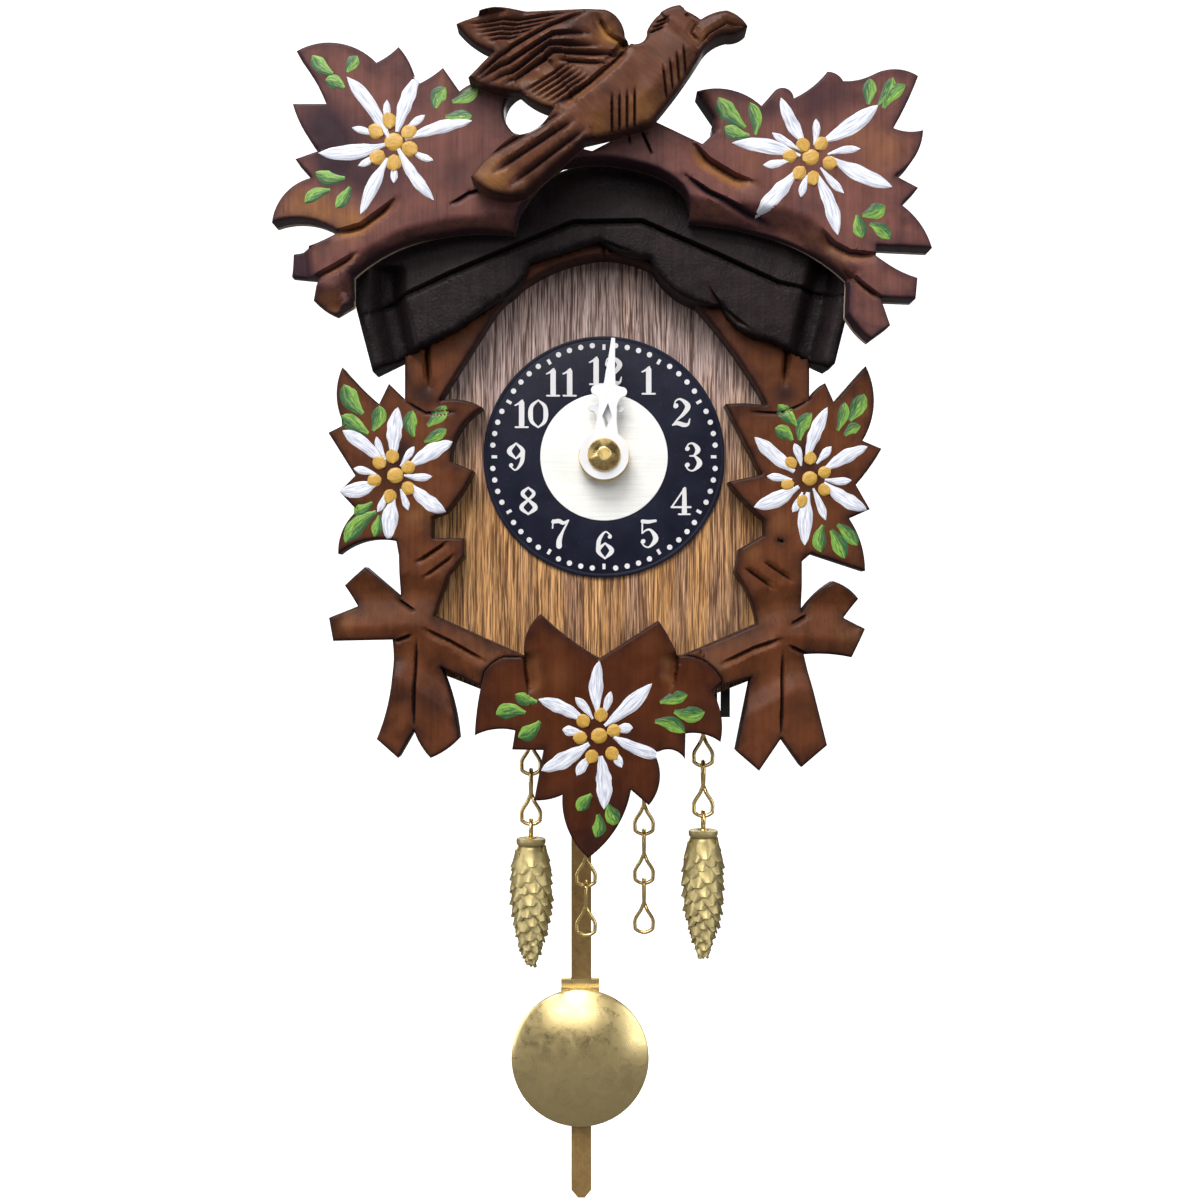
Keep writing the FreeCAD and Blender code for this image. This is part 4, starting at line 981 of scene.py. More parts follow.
def brush_streaks_group():
    """Bristle marks that run along a painted stroke."""
    tree, given, out = new_group("Brush Streaks", {"Vector": None, "Seed": 0.0, "Bristle Scale": 9.0},
        ("Streaks", "Height"))
    shifted = add(tree, "VectorMath", {0: given["Vector"], 1: add(tree, "CombineXYZ",
        {0: given["Seed"], 2: given["Seed"]}).outputs[0]})
    long = stretched(tree, shifted.outputs[0], (0.35, 1.0, 1.0))
    streaks = mist(tree, long, given["Bristle Scale"], 3.0, 0.6, 0.2)
    tree.links.new(spread(tree, streaks, 0.3, 0.7), out["Streaks"])
    tree.links.new(streaks, out["Height"])
    return tree


def build_groups():
    GROUPS["grain"] = wood_grain_group()
    GROUPS["stain"] = brushed_stain_group()
    GROUPS["wear"] = fine_wear_group()
    GROUPS["dust"] = settled_dust_group()
    GROUPS["bristles"] = brush_streaks_group()


# ---- materials ----
def new_material(name):
    """A material with its tree, its Principled shader and its place in millimetres."""
    material = bpy.data.materials.new(name)
    material.use_nodes = True
    tree = material.node_tree
    shader = tree.nodes["Principled BSDF"]
    place = stretched(tree, add(tree, "TexCoord").outputs["Object"], (1 / MM,) * 3)
    MATERIALS[name] = material
    return tree, shader, place


def dress(tree, shader, colour, roughness, height=None, strength=0.3, depth=0.1, **fixed):
    """Feeds the shader its colour, roughness and bump, and sets its plain values."""
    plug(tree, shader, {"Base Color": colour, "Roughness": roughness})
    if height is not None:
        bump = add(tree, "Bump", {"Strength": strength, "Distance": depth * MM, "Height": height})
        tree.links.new(bump.outputs[0], shader.inputs["Normal"])
    plug(tree, shader, {key.replace("_", " "): value for key, value in fixed.items()})


def attribute(tree, name):
    return add(tree, "Attribute", attribute_name=name).outputs["Fac"]


def stained_wood(name, pale, deep, gold, burnt_and_shade, rear, turn=(0.0, 0.0, 0.0), streak=0.5, pore=0.45,
                 pebble=0.0, gloss=0.42, rim_strength=1.0, dust=0.1):
    """Stained and varnished wood: grain, rims darkened by the stain, cuts and patches darkened partly by stain and
    partly by painted shade, bare gold gouges, and a pale rear edge.
    """
    tree, shader, place = new_material(name)
    grained = stretched(tree, place, (1.0, 1.0, 1.0), turn)
    grain = use(tree, "grain", {"Vector": grained, "Streak Scale": streak, "Pore Scale": 3.2, "Pore Share": pore})
    stain = use(tree, "stain", {"Vector": place, "Rim": attribute(tree, "rim"), "Rim Strength": rim_strength})
    tone = attribute(tree, "tone")
    mottled = plus(tree, times(tree, grain["Streaks"], 0.65), times(tree, stain["Cloud"], 0.35))
    colour = tint(tree, mottled, deep, pale)
    golden = tint(tree, grain["Streaks"], [c * 0.6 for c in gold], gold)
    colour = tint(tree, spread(tree, tone, 0.05, 1.0, 0.0, 0.92), colour, golden)
    # Dark tone, rim burn and airbrushed rims in one mask; where the tone is dark the darkest colour lays painted shade
    # in the cuts, under the arms and in the shade patches.
    dark = calc(tree, "MAXIMUM", spread(tree, tone, -0.05, -1.0, 0.0, 0.95), times(tree, stain["Burn"], 0.9))
    airbrushed = times(tree, calc(tree, "POWER", attribute(tree, "rim"), 0.24),
        spread(tree, stain["Cloud"], 0.0, 0.7, 0.75, 0.2))
    dark = plus(tree, dark, times(tree, airbrushed, calc(tree, "SUBTRACT", 1.0, dark)), clamp=True)
    colour = tint(tree, dark, colour, burnt_and_shade)
    colour = tint(tree, times(tree, grain["Pores"], 0.55), colour, burnt_and_shade)
    wall = attribute(tree, "wall")
    ragged = plus(tree, wall, spread(tree, mist(tree, place, 0.6, 3.0), 0.3, 0.7, -0.05, 0.05))
    outer = spread(tree, calc(tree, "ABSOLUTE", axis_of(tree, place, 0)), 27.0, 34.0)
    outer = calc(tree, "MAXIMUM", outer, spread(tree, wall, 0.97, 1.0))
    colour = tint(tree, times(tree, spread(tree, ragged, 0.70, 0.78), outer), colour, rear)
    settled = use(tree, "dust", {"Vector": place, "Amount": dust})
    colour = tint(tree, settled["Dust"], colour, (0.42, 0.38, 0.34))
    rough = plus(tree, spread(tree, stain["Cloud"], 0.0, 1.0, gloss - 0.07, gloss + 0.08),
                 times(tree, grain["Pores"], 0.2))
    height = grain["Height"]
    if pebble:
        bumps = mist(tree, place, 2.4, 3.0, 0.5)
        height = plus(tree, height, times(tree, bumps, pebble))
        # The raised pebble tops are coloured a lighter purple-grey: a painted highlight.
        pits = spread(tree, bumps, 0.55, 0.72)
        colour = tint(tree, times(tree, pits, 0.35), colour, [min(1.0, c * 2.2 + 0.02) for c in deep])
    dress(tree, shader, colour, rough, height, 0.5, 0.16, Specular_IOR_Level=0.08)


def veneer():
    """Quarter-sawn veneer: fine upright pores, greyer at the top and golden below."""
    tree, shader, place = new_material("front_veneer")
    grain = use(tree, "grain", {"Vector": place, "Streak Scale": 1.5, "Pore Scale": 4.2, "Pore Share": 0.95,
        "Wobble": 0.5})
    hair = use(tree, "grain", {"Vector": place, "Streak Scale": 3.4, "Pore Scale": 7.5, "Pore Share": 0.9,
        "Wobble": 0.5})
    broad = spread(tree, mist(tree, stretched(tree, place, (1.0, 1.0, 0.06)), 0.22, 3.0), 0.35, 0.65)
    lower = spread(tree, axis_of(tree, place, 2), -18.0, -44.0)
    patch = plus(tree, lower, calc(tree, "MULTIPLY_ADD", broad, 0.5, -0.25), clamp=True)
    pale = tint(tree, patch, (0.66, 0.50, 0.46), (0.66, 0.36, 0.15))
    deep = tint(tree, patch, (0.17, 0.115, 0.105), (0.115, 0.040, 0.012))
    weave = plus(tree, times(tree, grain["Streaks"], 0.45), times(tree, hair["Streaks"], 0.45))
    colour = tint(tree, spread(tree, calc(tree, "MULTIPLY_ADD", broad, 0.16, weave), 0.26, 0.76), deep, pale)
    colour = tint(tree, times(tree, grain["Pores"], 0.8), colour, (0.055, 0.024, 0.014))
    colour = tint(tree, times(tree, hair["Pores"], 0.6), colour, (0.07, 0.032, 0.02))
    height = plus(tree, grain["Height"], times(tree, hair["Height"], 0.6))
    rough = spread(tree, grain["Streaks"], 0.0, 1.0, 0.55, 0.42)
    dress(tree, shader, colour, rough, height, 0.6, 0.12, Specular_IOR_Level=0.1)


def plastic(name, colour, rough=0.35, grain=0.0, dust=0.15):
    """Moulded plastic with faint flow marks, fine scratches and settled dust."""
    tree, shader, place = new_material(name)
    wear = use(tree, "wear", {"Vector": place})
    settled = use(tree, "dust", {"Vector": place, "Amount": dust})
    flow = mist(tree, stretched(tree, place, (1.0, 1.0, 0.4)), 0.3, 3.0)
    shade = tint(tree, spread(tree, flow, 0.3, 0.7, 0.0, 0.5), colour, [c * 0.82 for c in colour])
    shade = tint(tree, times(tree, wear["Scratches"], 0.25), shade, [min(1, c * 1.3 + 0.03) for c in colour])
    shade = tint(tree, settled["Dust"], shade, (0.5, 0.48, 0.45))
    roughness = plus(tree, rough, times(tree, wear["Smudges"], 0.16))
    height = plus(tree, times(tree, mist(tree, place, 9.0, 2.0), grain), times(tree, wear["Height"], 0.15))
    dress(tree, shader, shade, roughness, height, 0.25, 0.05, Specular_IOR_Level=0.5)


def metal(name, bright, dull, rough=0.25, brushed=(1.0, 1.0, 1.0), brush=0.0, tarnish=0.5, metallic=1.0, scale=2.0):
    """Metal with tarnish, fine scratches and, where it has one, a brushed finish."""
    tree, shader, place = new_material(name)
    wear = use(tree, "wear", {"Vector": place, "Scratch Scale": 1.6, "Smudge Scale": 0.45})
    lines = spread(tree, mist(tree, stretched(tree, place, brushed), scale, 4.0, 0.7), 0.32, 0.68)
    stain = spread(tree, mist(tree, place, 0.7, 5.0, 0.65, 0.6), 0.4, 0.75, 0.0, tarnish)
    colour = tint(tree, stain, bright, dull)
    colour = tint(tree, times(tree, lines, brush * 0.7), colour, [c * 0.62 for c in bright])
    colour = tint(tree, times(tree, wear["Scratches"], 0.3), colour, [min(1, c * 1.25) for c in bright])
    roughness = plus(tree, calc(tree, "MULTIPLY_ADD", wear["Smudges"], 0.14, rough), times(tree, stain, 0.15))
    height = plus(tree, times(tree, lines, brush), times(tree, wear["Height"], 0.4))
    dress(tree, shader, colour, roughness, height, 0.2, 0.03, Metallic=metallic)


def paint(name, pale, deep, second=None, see_through=0.0):
    """Hand-brushed acrylic on a stroke's own map."""
    tree, shader, _ = new_material(name)
    chart = add(tree, "UVMap", uv_map="stroke").outputs[0]
    bristles = use(tree, "bristles", {"Vector": chart, "Seed": attribute(tree, "seed")})
    across = add(tree, "SeparateXYZ", {0: chart}).outputs
    colour = tint(tree, times(tree, bristles["Streaks"], 0.85), pale, deep)
    if second:
        swing = plus(tree, across[1], spread(tree, bristles["Streaks"], 0.0, 1.0, -0.3, 0.3))
        colour = tint(tree, spread(tree, swing, 0.25, 0.75), colour, second)
    rim = times(tree, calc(tree, "ABSOLUTE", calc(tree, "SUBTRACT", across[1], 0.5)), 2.0)
    colour = tint(tree, spread(tree, rim, 0.8, 1.0, 0.0, 0.3 + see_through), colour, [c * 0.45 for c in deep])
    dress(tree, shader, colour, spread(tree, bristles["Streaks"], 0, 1, 0.38, 0.55), bristles["Height"], 0.5, 0.1,
          Specular_IOR_Level=0.45)


def dial_print():
    """Navy print round the dial, with a slight orange-peel surface and speckles of dust."""
    tree, shader, place = new_material("dial_ring")
    wear = use(tree, "wear", {"Vector": place, "Smudge Scale": 0.3})
    cloud = spread(tree, mist(tree, place, 0.25, 4.0), 0.3, 0.7)
    colour = tint(tree, cloud, (0.007, 0.008, 0.017), (0.013, 0.014, 0.028))
    specks = spread(tree, mist(tree, place, 5.5, 2.0), 0.70, 0.76)
    colour = tint(tree, times(tree, specks, 0.35), colour, (0.20, 0.21, 0.26))
    rough = calc(tree, "MULTIPLY_ADD", wear["Smudges"], 0.12, 0.34)
    dress(tree, shader, colour, rough, mist(tree, place, 3.0, 2.0), 0.15, 0.03, Specular_IOR_Level=0.1)


def two_tone_battery():
    """Plain battery jacket: dark sleeve with a copper-coloured end band."""
    tree, shader, place = new_material("battery_jacket")
    x = axis_of(tree, place, 0)
    wear = use(tree, "wear", {"Vector": place})
    colour = tint(tree, spread(tree, x, 11.9, 12.1), (0.035, 0.04, 0.05), (0.50, 0.25, 0.12))
    colour = tint(tree, spread(tree, x, 24.0, 24.05), colour, (0.62, 0.61, 0.57))
    colour = tint(tree, times(tree, wear["Scratches"], 0.3), colour, (0.5, 0.5, 0.5))
    dress(tree, shader, colour, calc(tree, "MULTIPLY_ADD", wear["Smudges"], 0.15, 0.28), wear["Height"], 0.2, 0.02,
        Metallic=0.55)


def circuit():
    """Green solder mask with tinned tracks."""
    tree, shader, place = new_material("board_green")
    cells = add(tree, "TexBrick", {"Vector": stretched(tree, place, (0.5, 0.5, 0.5), (math.pi / 2, 0, 0)),
        "Scale": 1.0,
                                   "Mortar Size": 0.06, "Color1": rgba((0.012, 0.10, 0.05)),
                                   "Color2": rgba((0.015, 0.13, 0.065)), "Mortar": rgba((0.10, 0.28, 0.12))})
    colour = tint(tree, spread(tree, mist(tree, place, 0.8), 0.6, 0.64), cells.outputs[0], (0.6, 0.6, 0.58))
    dress(tree, shader, colour, 0.35, cells.outputs[1], 0.3, 0.05)


def build_materials(stain):
    """Every finish. The carvings' colours come from the finish properties."""
    shadow, rear = (0.011, 0.006, 0.007), (0.52, 0.44, 0.33)
    crown, bird, chestnut, red = tuple(stain.crown), tuple(stain.bird), tuple(stain.surround), tuple(stain.leaf)

    def deeper(colour, share=0.45):
        return [c * share for c in colour]

    stained_wood("crown_wood", crown, deeper(crown), (0.36, 0.155, 0.045), (0.026, 0.014, 0.020), rear, gloss=0.4)
    stained_wood("bird_wood", bird, deeper(bird), (0.40, 0.185, 0.055), (0.022, 0.010, 0.010), rear, turn=(0, 0.9, 0),
        gloss=0.34)
    stained_wood("fascia_wood", (0.024, 0.015, 0.016), (0.007, 0.005, 0.006), (0.07, 0.03, 0.015),
        (0.002, 0.0015, 0.002),
                 (0.06, 0.04, 0.03), pebble=1.2, gloss=0.42, pore=0.3)
    stained_wood("surround_wood", chestnut, deeper(chestnut, 0.5), (0.33, 0.155, 0.055), shadow, (0.10, 0.05, 0.028),
                 streak=0.35, gloss=0.38)
    stained_wood("leaf_wood", red, deeper(red, 0.5), (0.24, 0.095, 0.035), (0.020, 0.008, 0.007), (0.06, 0.03, 0.02),
                 streak=0.3, gloss=0.34)
    stained_wood("case_wood", (0.24, 0.125, 0.062), (0.13, 0.060, 0.028), (0.3, 0.15, 0.05), shadow, rear, streak=0.3,
        gloss=0.5)
    stained_wood("roof_wood", (0.10, 0.055, 0.038), (0.045, 0.024, 0.017), (0.3, 0.15, 0.05), shadow, rear,
                 turn=(math.pi / 2, 0, 0), streak=0.35, gloss=0.48, dust=0.35)
    veneer()
    paint("paint_white", (0.86, 0.87, 0.92), (0.20, 0.23, 0.33))
    paint("paint_yellow", (0.56, 0.33, 0.06), (0.33, 0.18, 0.02))
    paint("paint_green", (0.24, 0.42, 0.05), (0.03, 0.15, 0.03), (0.012, 0.07, 0.02), 0.3)
    plastic("hand_plastic", (0.68, 0.68, 0.70), 0.3, 0.2, 0.0)
    plastic("numeral_print", (0.62, 0.61, 0.62), 0.45, 0.6, 0.0)
    plastic("black_plastic", (0.010, 0.010, 0.011), 0.42, 1.0, 0.3)
    plastic("white_plastic", (0.72, 0.72, 0.68), 0.4, 0.4, 0.1)
    metal("dial_silver", (0.84, 0.84, 0.81), (0.62, 0.61, 0.57), 0.36, (0.05, 1.0, 2.2), 0.55, 0.15, 0.45, 1.6)
    metal("brass", (0.84, 0.62, 0.25), (0.55, 0.36, 0.11), 0.22, tarnish=0.1)
    metal("satin_brass", (0.80, 0.63, 0.30), (0.58, 0.42, 0.17), 0.23, (0.2, 1.0, 3.0), 0.25, 0.35)
    metal("rod_brass", (0.42, 0.27, 0.10), (0.16, 0.075, 0.03), 0.38, (4.0, 1.0, 0.06), 0.7, 0.7, 0.75)
    metal("cone_gold", (0.50, 0.41, 0.19), (0.26, 0.20, 0.08), 0.36, tarnish=0.5, metallic=0.85, brush=0.25)
    metal("steel", (0.62, 0.62, 0.63), (0.34, 0.33, 0.32), 0.26)
    metal("nickel", (0.68, 0.66, 0.61), (0.40, 0.38, 0.34), 0.3)
    metal("copper", (0.72, 0.33, 0.17), (0.35, 0.14, 0.07), 0.33, (0.3, 8.0, 8.0), 1.0, 0.3)
    metal("magnet", (0.12, 0.12, 0.13), (0.05, 0.05, 0.055), 0.5, metallic=0.6)
    dial_print()
    two_tone_battery()
    circuit()


# ---- turned and printed pieces ----
def turned(name, profile, origin, axis, steps, materials, which=None, closed=True):
    """A profile of (radius, height) turned round an axis through the origin, "Y" or "Z"."""
    angles = np.linspace(0, 2 * math.pi, steps, endpoint=False)
    verts, rings, faces, finish = [], [], [], []
    for r, h in profile:
        ring = []
        for a in angles if r > 1e-6 else angles[:1]:
            x, s = r * math.cos(a), r * math.sin(a)
            place = (x, h, s) if axis == "Y" else (x, s, h)
            ring.append(len(verts))
            verts.append(tuple(p + o for p, o in zip(place, origin)))
        rings.append(ring)
    pairs = list(zip(rings[:-1], rings[1:]))
    if closed:
        pairs.append((rings[-1], rings[0]))
    for k, (a, b) in enumerate(pairs):
        if len(a) == 1 and len(b) == 1:
            continue
        for i in range(steps):
            j = (i + 1) % steps
            corners = [a[i % len(a)], a[j % len(a)], b[j % len(b)], b[i % len(b)]]
            faces.append(list(dict.fromkeys(corners)))
            finish.append(which[k] if which else 0)
    obj = new_piece(name, verts, faces, materials, 32)
    obj.data.polygons.foreach_set("material_index", finish)
    outward(obj)
    smooth_edges(obj.data, 32)
    return obj


def smoothed(stroke, steps=7):
    """A pen stroke's corners joined by a smooth curve; its last column is the pen's width."""
    line = np.array(stroke, float)
    if len(line) < 3:
        return line
    ends = np.vstack([2 * line[0] - line[1], line, 2 * line[-1] - line[-2]])
    made = []
    for i in range(1, len(ends) - 2):
        p0, p1, p2, p3 = ends[i - 1:i + 3]
        for t in np.linspace(0, 1, steps, endpoint=False):
            made.append(0.5 * (2 * p1 + (p2 - p0) * t + (2 * p0 - 5 * p1 + 4 * p2 - p3) * t**2
                               + (3 * p1 - p0 - 3 * p2 + p3) * t**3))
    made.append(line[-1])
    return np.array(made)


def pen_outline(line):
    """The outline of a pen stroke with round ends."""
    points, widths = line[:, :2], np.maximum(line[:, 2], 0.03) / 2
    along = np.gradient(points, axis=0)
    heading = np.arctan2(along[:, 1], along[:, 0])
    sides = []
    for turn in (math.pi / 2, -math.pi / 2):
        sides.append([p + w * np.array((math.cos(a + turn), math.sin(a + turn))) for p, w,
            a in zip(points, widths, heading)])
    caps = []
    for end, first in ((-1, math.pi / 2), (0, -math.pi / 2)):
        caps.append([
            points[end] + widths[end] * np.array((math.cos(heading[end] + first - t),
                math.sin(heading[end] + first - t)))
            for t in np.linspace(0, math.pi, 7)[1:-1]
        ])
    return np.array(sides[0] + caps[0] + sides[1][::-1] + caps[1])


def within_pen(points, line):
    """Which points the pen covered along a smoothed stroke."""
    covered = np.zeros(len(points), bool)
    for a, b in zip(line[:-1], line[1:]):
        run = b[:2] - a[:2]
        t = np.clip((points - a[:2]) @ run / max(run @ run, 1e-12), 0, 1)
        gap = np.linalg.norm(points - a[:2] - np.outer(t, run), axis=1)
        covered |= gap < (a[2] + (b[2] - a[2]) * t) / 2 + 0.004
    return covered


def printed(name, strokes, lift, sink, material):
    """Pen strokes (x, z, width) in millimetres, joined into raised print on the dial."""
    lines = [smoothed(stroke) for stroke in strokes]
    outlines = [pen_outline(line) for line in lines]
    made = delaunay_2d_cdt([Vector(p) for p in np.vstack(outlines)], chain_edges(outlines), [], 0, 1e-5)
    places, faces = np.array([(v.x, v.y) for v in made[0]]), np.array([f for f in made[2] if len(f) == 3])
    middles = places[faces].mean(axis=1)
    keep = np.zeros(len(faces), bool)
    for line in lines:
        keep |= within_pen(middles, line)
    shape = bmesh.new()
    verts = [shape.verts.new((x * MM, (DIAL_FRONT - lift) * MM, z * MM)) for x, z in places]
    for face in faces[keep]:
        shape.faces.new([verts[i] for i in face])
    loose = [v for v in shape.verts if not v.link_faces]
    bmesh.ops.delete(shape, geom=loose, context="VERTS")
    grown = bmesh.ops.extrude_face_region(shape, geom=shape.faces[:])
    moved = [item for item in grown["geom"] if isinstance(item, bmesh.types.BMVert)]
    bmesh.ops.translate(shape, verts=moved, vec=(0, (lift + sink) * MM, 0))
    bmesh.ops.recalc_face_normals(shape, faces=shape.faces)
    mesh = bpy.data.meshes.new(name)
    shape.to_mesh(mesh)
    shape.free()
    mesh.materials.append(material)
    obj = linked(name, mesh)
    smooth_edges(mesh, 30)
    return obj


# ---- geometry nodes ----
def new_tree(name, inputs):
    """A geometry node tree with a geometry and named inputs, given as {name: (kind, default)}."""
    tree = bpy.data.node_groups.new(name, "GeometryNodeTree")
    tree.interface.new_socket(name="Geometry", in_out="INPUT", socket_type="NodeSocketGeometry")
    for key, (kind, value) in inputs.items():
        socket = tree.interface.new_socket(name=key, in_out="INPUT", socket_type="NodeSocket" + kind)
        if value is not None:
            socket.default_value = value
    tree.interface.new_socket(name="Geometry", in_out="OUTPUT", socket_type="NodeSocketGeometry")
    return tree, tree.nodes.new("NodeGroupInput").outputs, tree.nodes.new("NodeGroupOutput").inputs


def vector(tree, x=0.0, y=0.0, z=0.0):
    return add(tree, "CombineXYZ", {0: x, 1: y, 2: z}).outputs[0]


def end_tree(tree, geometry, material, out):
    """Every tree ends by making its copies real and giving them their material."""
    real = node(tree, "RealizeInstances", {"Geometry": geometry}).outputs[0]
    painted = node(tree, "SetMaterial", {"Geometry": real, "Material": material}).outputs[0]
    tree.links.new(painted, out["Geometry"])
    return tree


def grown(name, tree, inputs, angle=38.0):
    """A plain mesh object made by a geometry node tree with those inputs."""
    mesh = bpy.data.meshes.new(name)
    obj = linked(name, mesh)
    modifier = obj.modifiers.new("nodes", "NODES")
    modifier.node_group = tree
    for item in tree.interface.items_tree:
        if item.item_type == "SOCKET" and item.in_out == "INPUT" and item.name in inputs:
            modifier[item.identifier] = inputs[item.name]
    baked(obj)
    outward(obj)
    smooth_edges(obj.data, angle)
    return obj


def dial_marks_tree():
    """Marks spaced evenly round the dial, the first at twelve: round dots or radial bars."""
    tree, given, out = new_tree("Dial Marks", {
        "Count": ("Int", 60), "Skip Every": ("Int", 0), "Radius": ("Float", 0.0185), "Size": ("Vector",
            (0.0009, 0.0009, 0.0001)),
        "Bars": ("Bool", False), "Centre": ("Vector", (0.0, 0.0, 0.0)), "Material": ("Material", None),
    })
    places = node(tree, "Points", {"Count": given["Count"]}).outputs[0]
    index = node(tree, "InputIndex").outputs[0]
    turn = times(tree, index, calc(tree, "DIVIDE", math.tau, given["Count"]))
    x = times(tree, calc(tree, "SINE", turn), given["Radius"])
    z = times(tree, calc(tree, "COSINE", turn), given["Radius"])
    put = node(tree, "SetPosition", {"Geometry": places, "Position": vector(tree, x, 0.0, z),
        "Offset": given["Centre"]})
    skipped = node(tree, "Compare", {2: calc(tree, "MODULO", index, given["Skip Every"]), 3: 0}, "FunctionNode",
                   data_type="INT", operation="EQUAL")
    any_skip = node(tree, "Compare", {2: given["Skip Every"], 3: 0}, "FunctionNode", data_type="INT",
                    operation="GREATER_THAN")
    drop = node(tree, "BooleanMath", {0: skipped.outputs[0], 1: any_skip.outputs[0]}, "FunctionNode", operation="AND")
    kept = node(tree, "DeleteGeometry", {"Geometry": put.outputs[0], "Selection": drop.outputs[0]})
    dot = node(tree, "MeshCylinder", {"Vertices": 20, "Radius": 0.5, "Depth": 1.0}).outputs[0]
    bar = node(tree, "MeshCube", {"Size": (1.0, 1.0, 1.0)}).outputs[0]
    mark = node(tree, "Switch", {"Switch": given["Bars"], "False": dot, "True": bar},
        input_type="GEOMETRY").outputs[0]
    flat = node(tree, "Transform", {"Geometry": mark, "Scale": given["Size"]}).outputs[0]
    flat = node(tree, "Transform", {"Geometry": flat, "Rotation": (math.pi / 2, 0.0, 0.0)}).outputs[0]
    spun = node(tree, "InstanceOnPoints", {
        "Points": kept.outputs[0], "Instance": flat, "Rotation": vector(tree, 0.0, turn, 0.0)
    }).outputs[0]
    return end_tree(tree, spun, given["Material"], out)


def chain_link_tree():
    """One wire link: the loop closes to a waist, and its upper half is turned a quarter round."""
    tree, given, out = new_tree("Chain Link", {
        "Length": ("Float", 0.00995), "Width": ("Float", 0.0041), "Wire": ("Float", 0.00065), "Waist": ("Float",
            0.00036),
        "Centre": ("Vector", (0.0, 0.0, 0.0)), "Material": ("Material", None),
    })
    circle = node(tree, "CurvePrimitiveCircle", {"Resolution": 120, "Radius": 1.0}).outputs[0]
    place = add(tree, "SeparateXYZ", {0: node(tree, "InputPosition").outputs[0]}).outputs
    half = times(tree, calc(tree, "SUBTRACT", given["Length"], given["Wire"]), 0.5)
    wide = times(tree, calc(tree, "SUBTRACT", given["Width"], given["Wire"]), 0.5)
    out_from = calc(tree, "ABSOLUTE", place[0])
    open_share = node(tree, "MapRange", {0: out_from, 1: 0.02, 2: 0.62, 3: 0.0, 4: 1.0}, "ShaderNode",
                      interpolation_type="SMOOTHSTEP").outputs[0]
    bulge = calc(tree, "POWER", calc(tree, "SUBTRACT", 1.0, calc(tree, "POWER", out_from, 2.6)), -0.5)
    bulge = calc(tree, "MINIMUM", bulge, 6.0)
    belly = times(tree, place[1], times(tree, wide, calc(tree, "MINIMUM", bulge, 1.75)))
    narrow = times(tree, calc(tree, "SIGN", place[1]), given["Waist"])
    side = node(tree, "Mix", {0: open_share, 2: narrow, 3: belly}, "ShaderNode", data_type="FLOAT").outputs[0]
    turn = node(tree, "MapRange", {0: place[0], 1: -0.16, 2: 0.16, 3: 0.0, 4: math.pi / 2}, "ShaderNode",
                interpolation_type="SMOOTHSTEP").outputs[0]
    spot = vector(tree, times(tree, side, calc(tree, "COSINE", turn)),
                  times(tree, side, calc(tree, "SINE", turn)), times(tree, place[0], half))
    bent = node(tree, "SetPosition", {"Geometry": circle, "Position": spot, "Offset": given["Centre"]}).outputs[0]
    section = node(tree, "CurvePrimitiveCircle", {"Resolution": 12, "Radius": times(tree, given["Wire"], 0.5)})
    wire = node(tree, "CurveToMesh", {"Curve": bent, "Profile Curve": section.outputs[0]}).outputs[0]
    return end_tree(tree, wire, given["Material"], out)


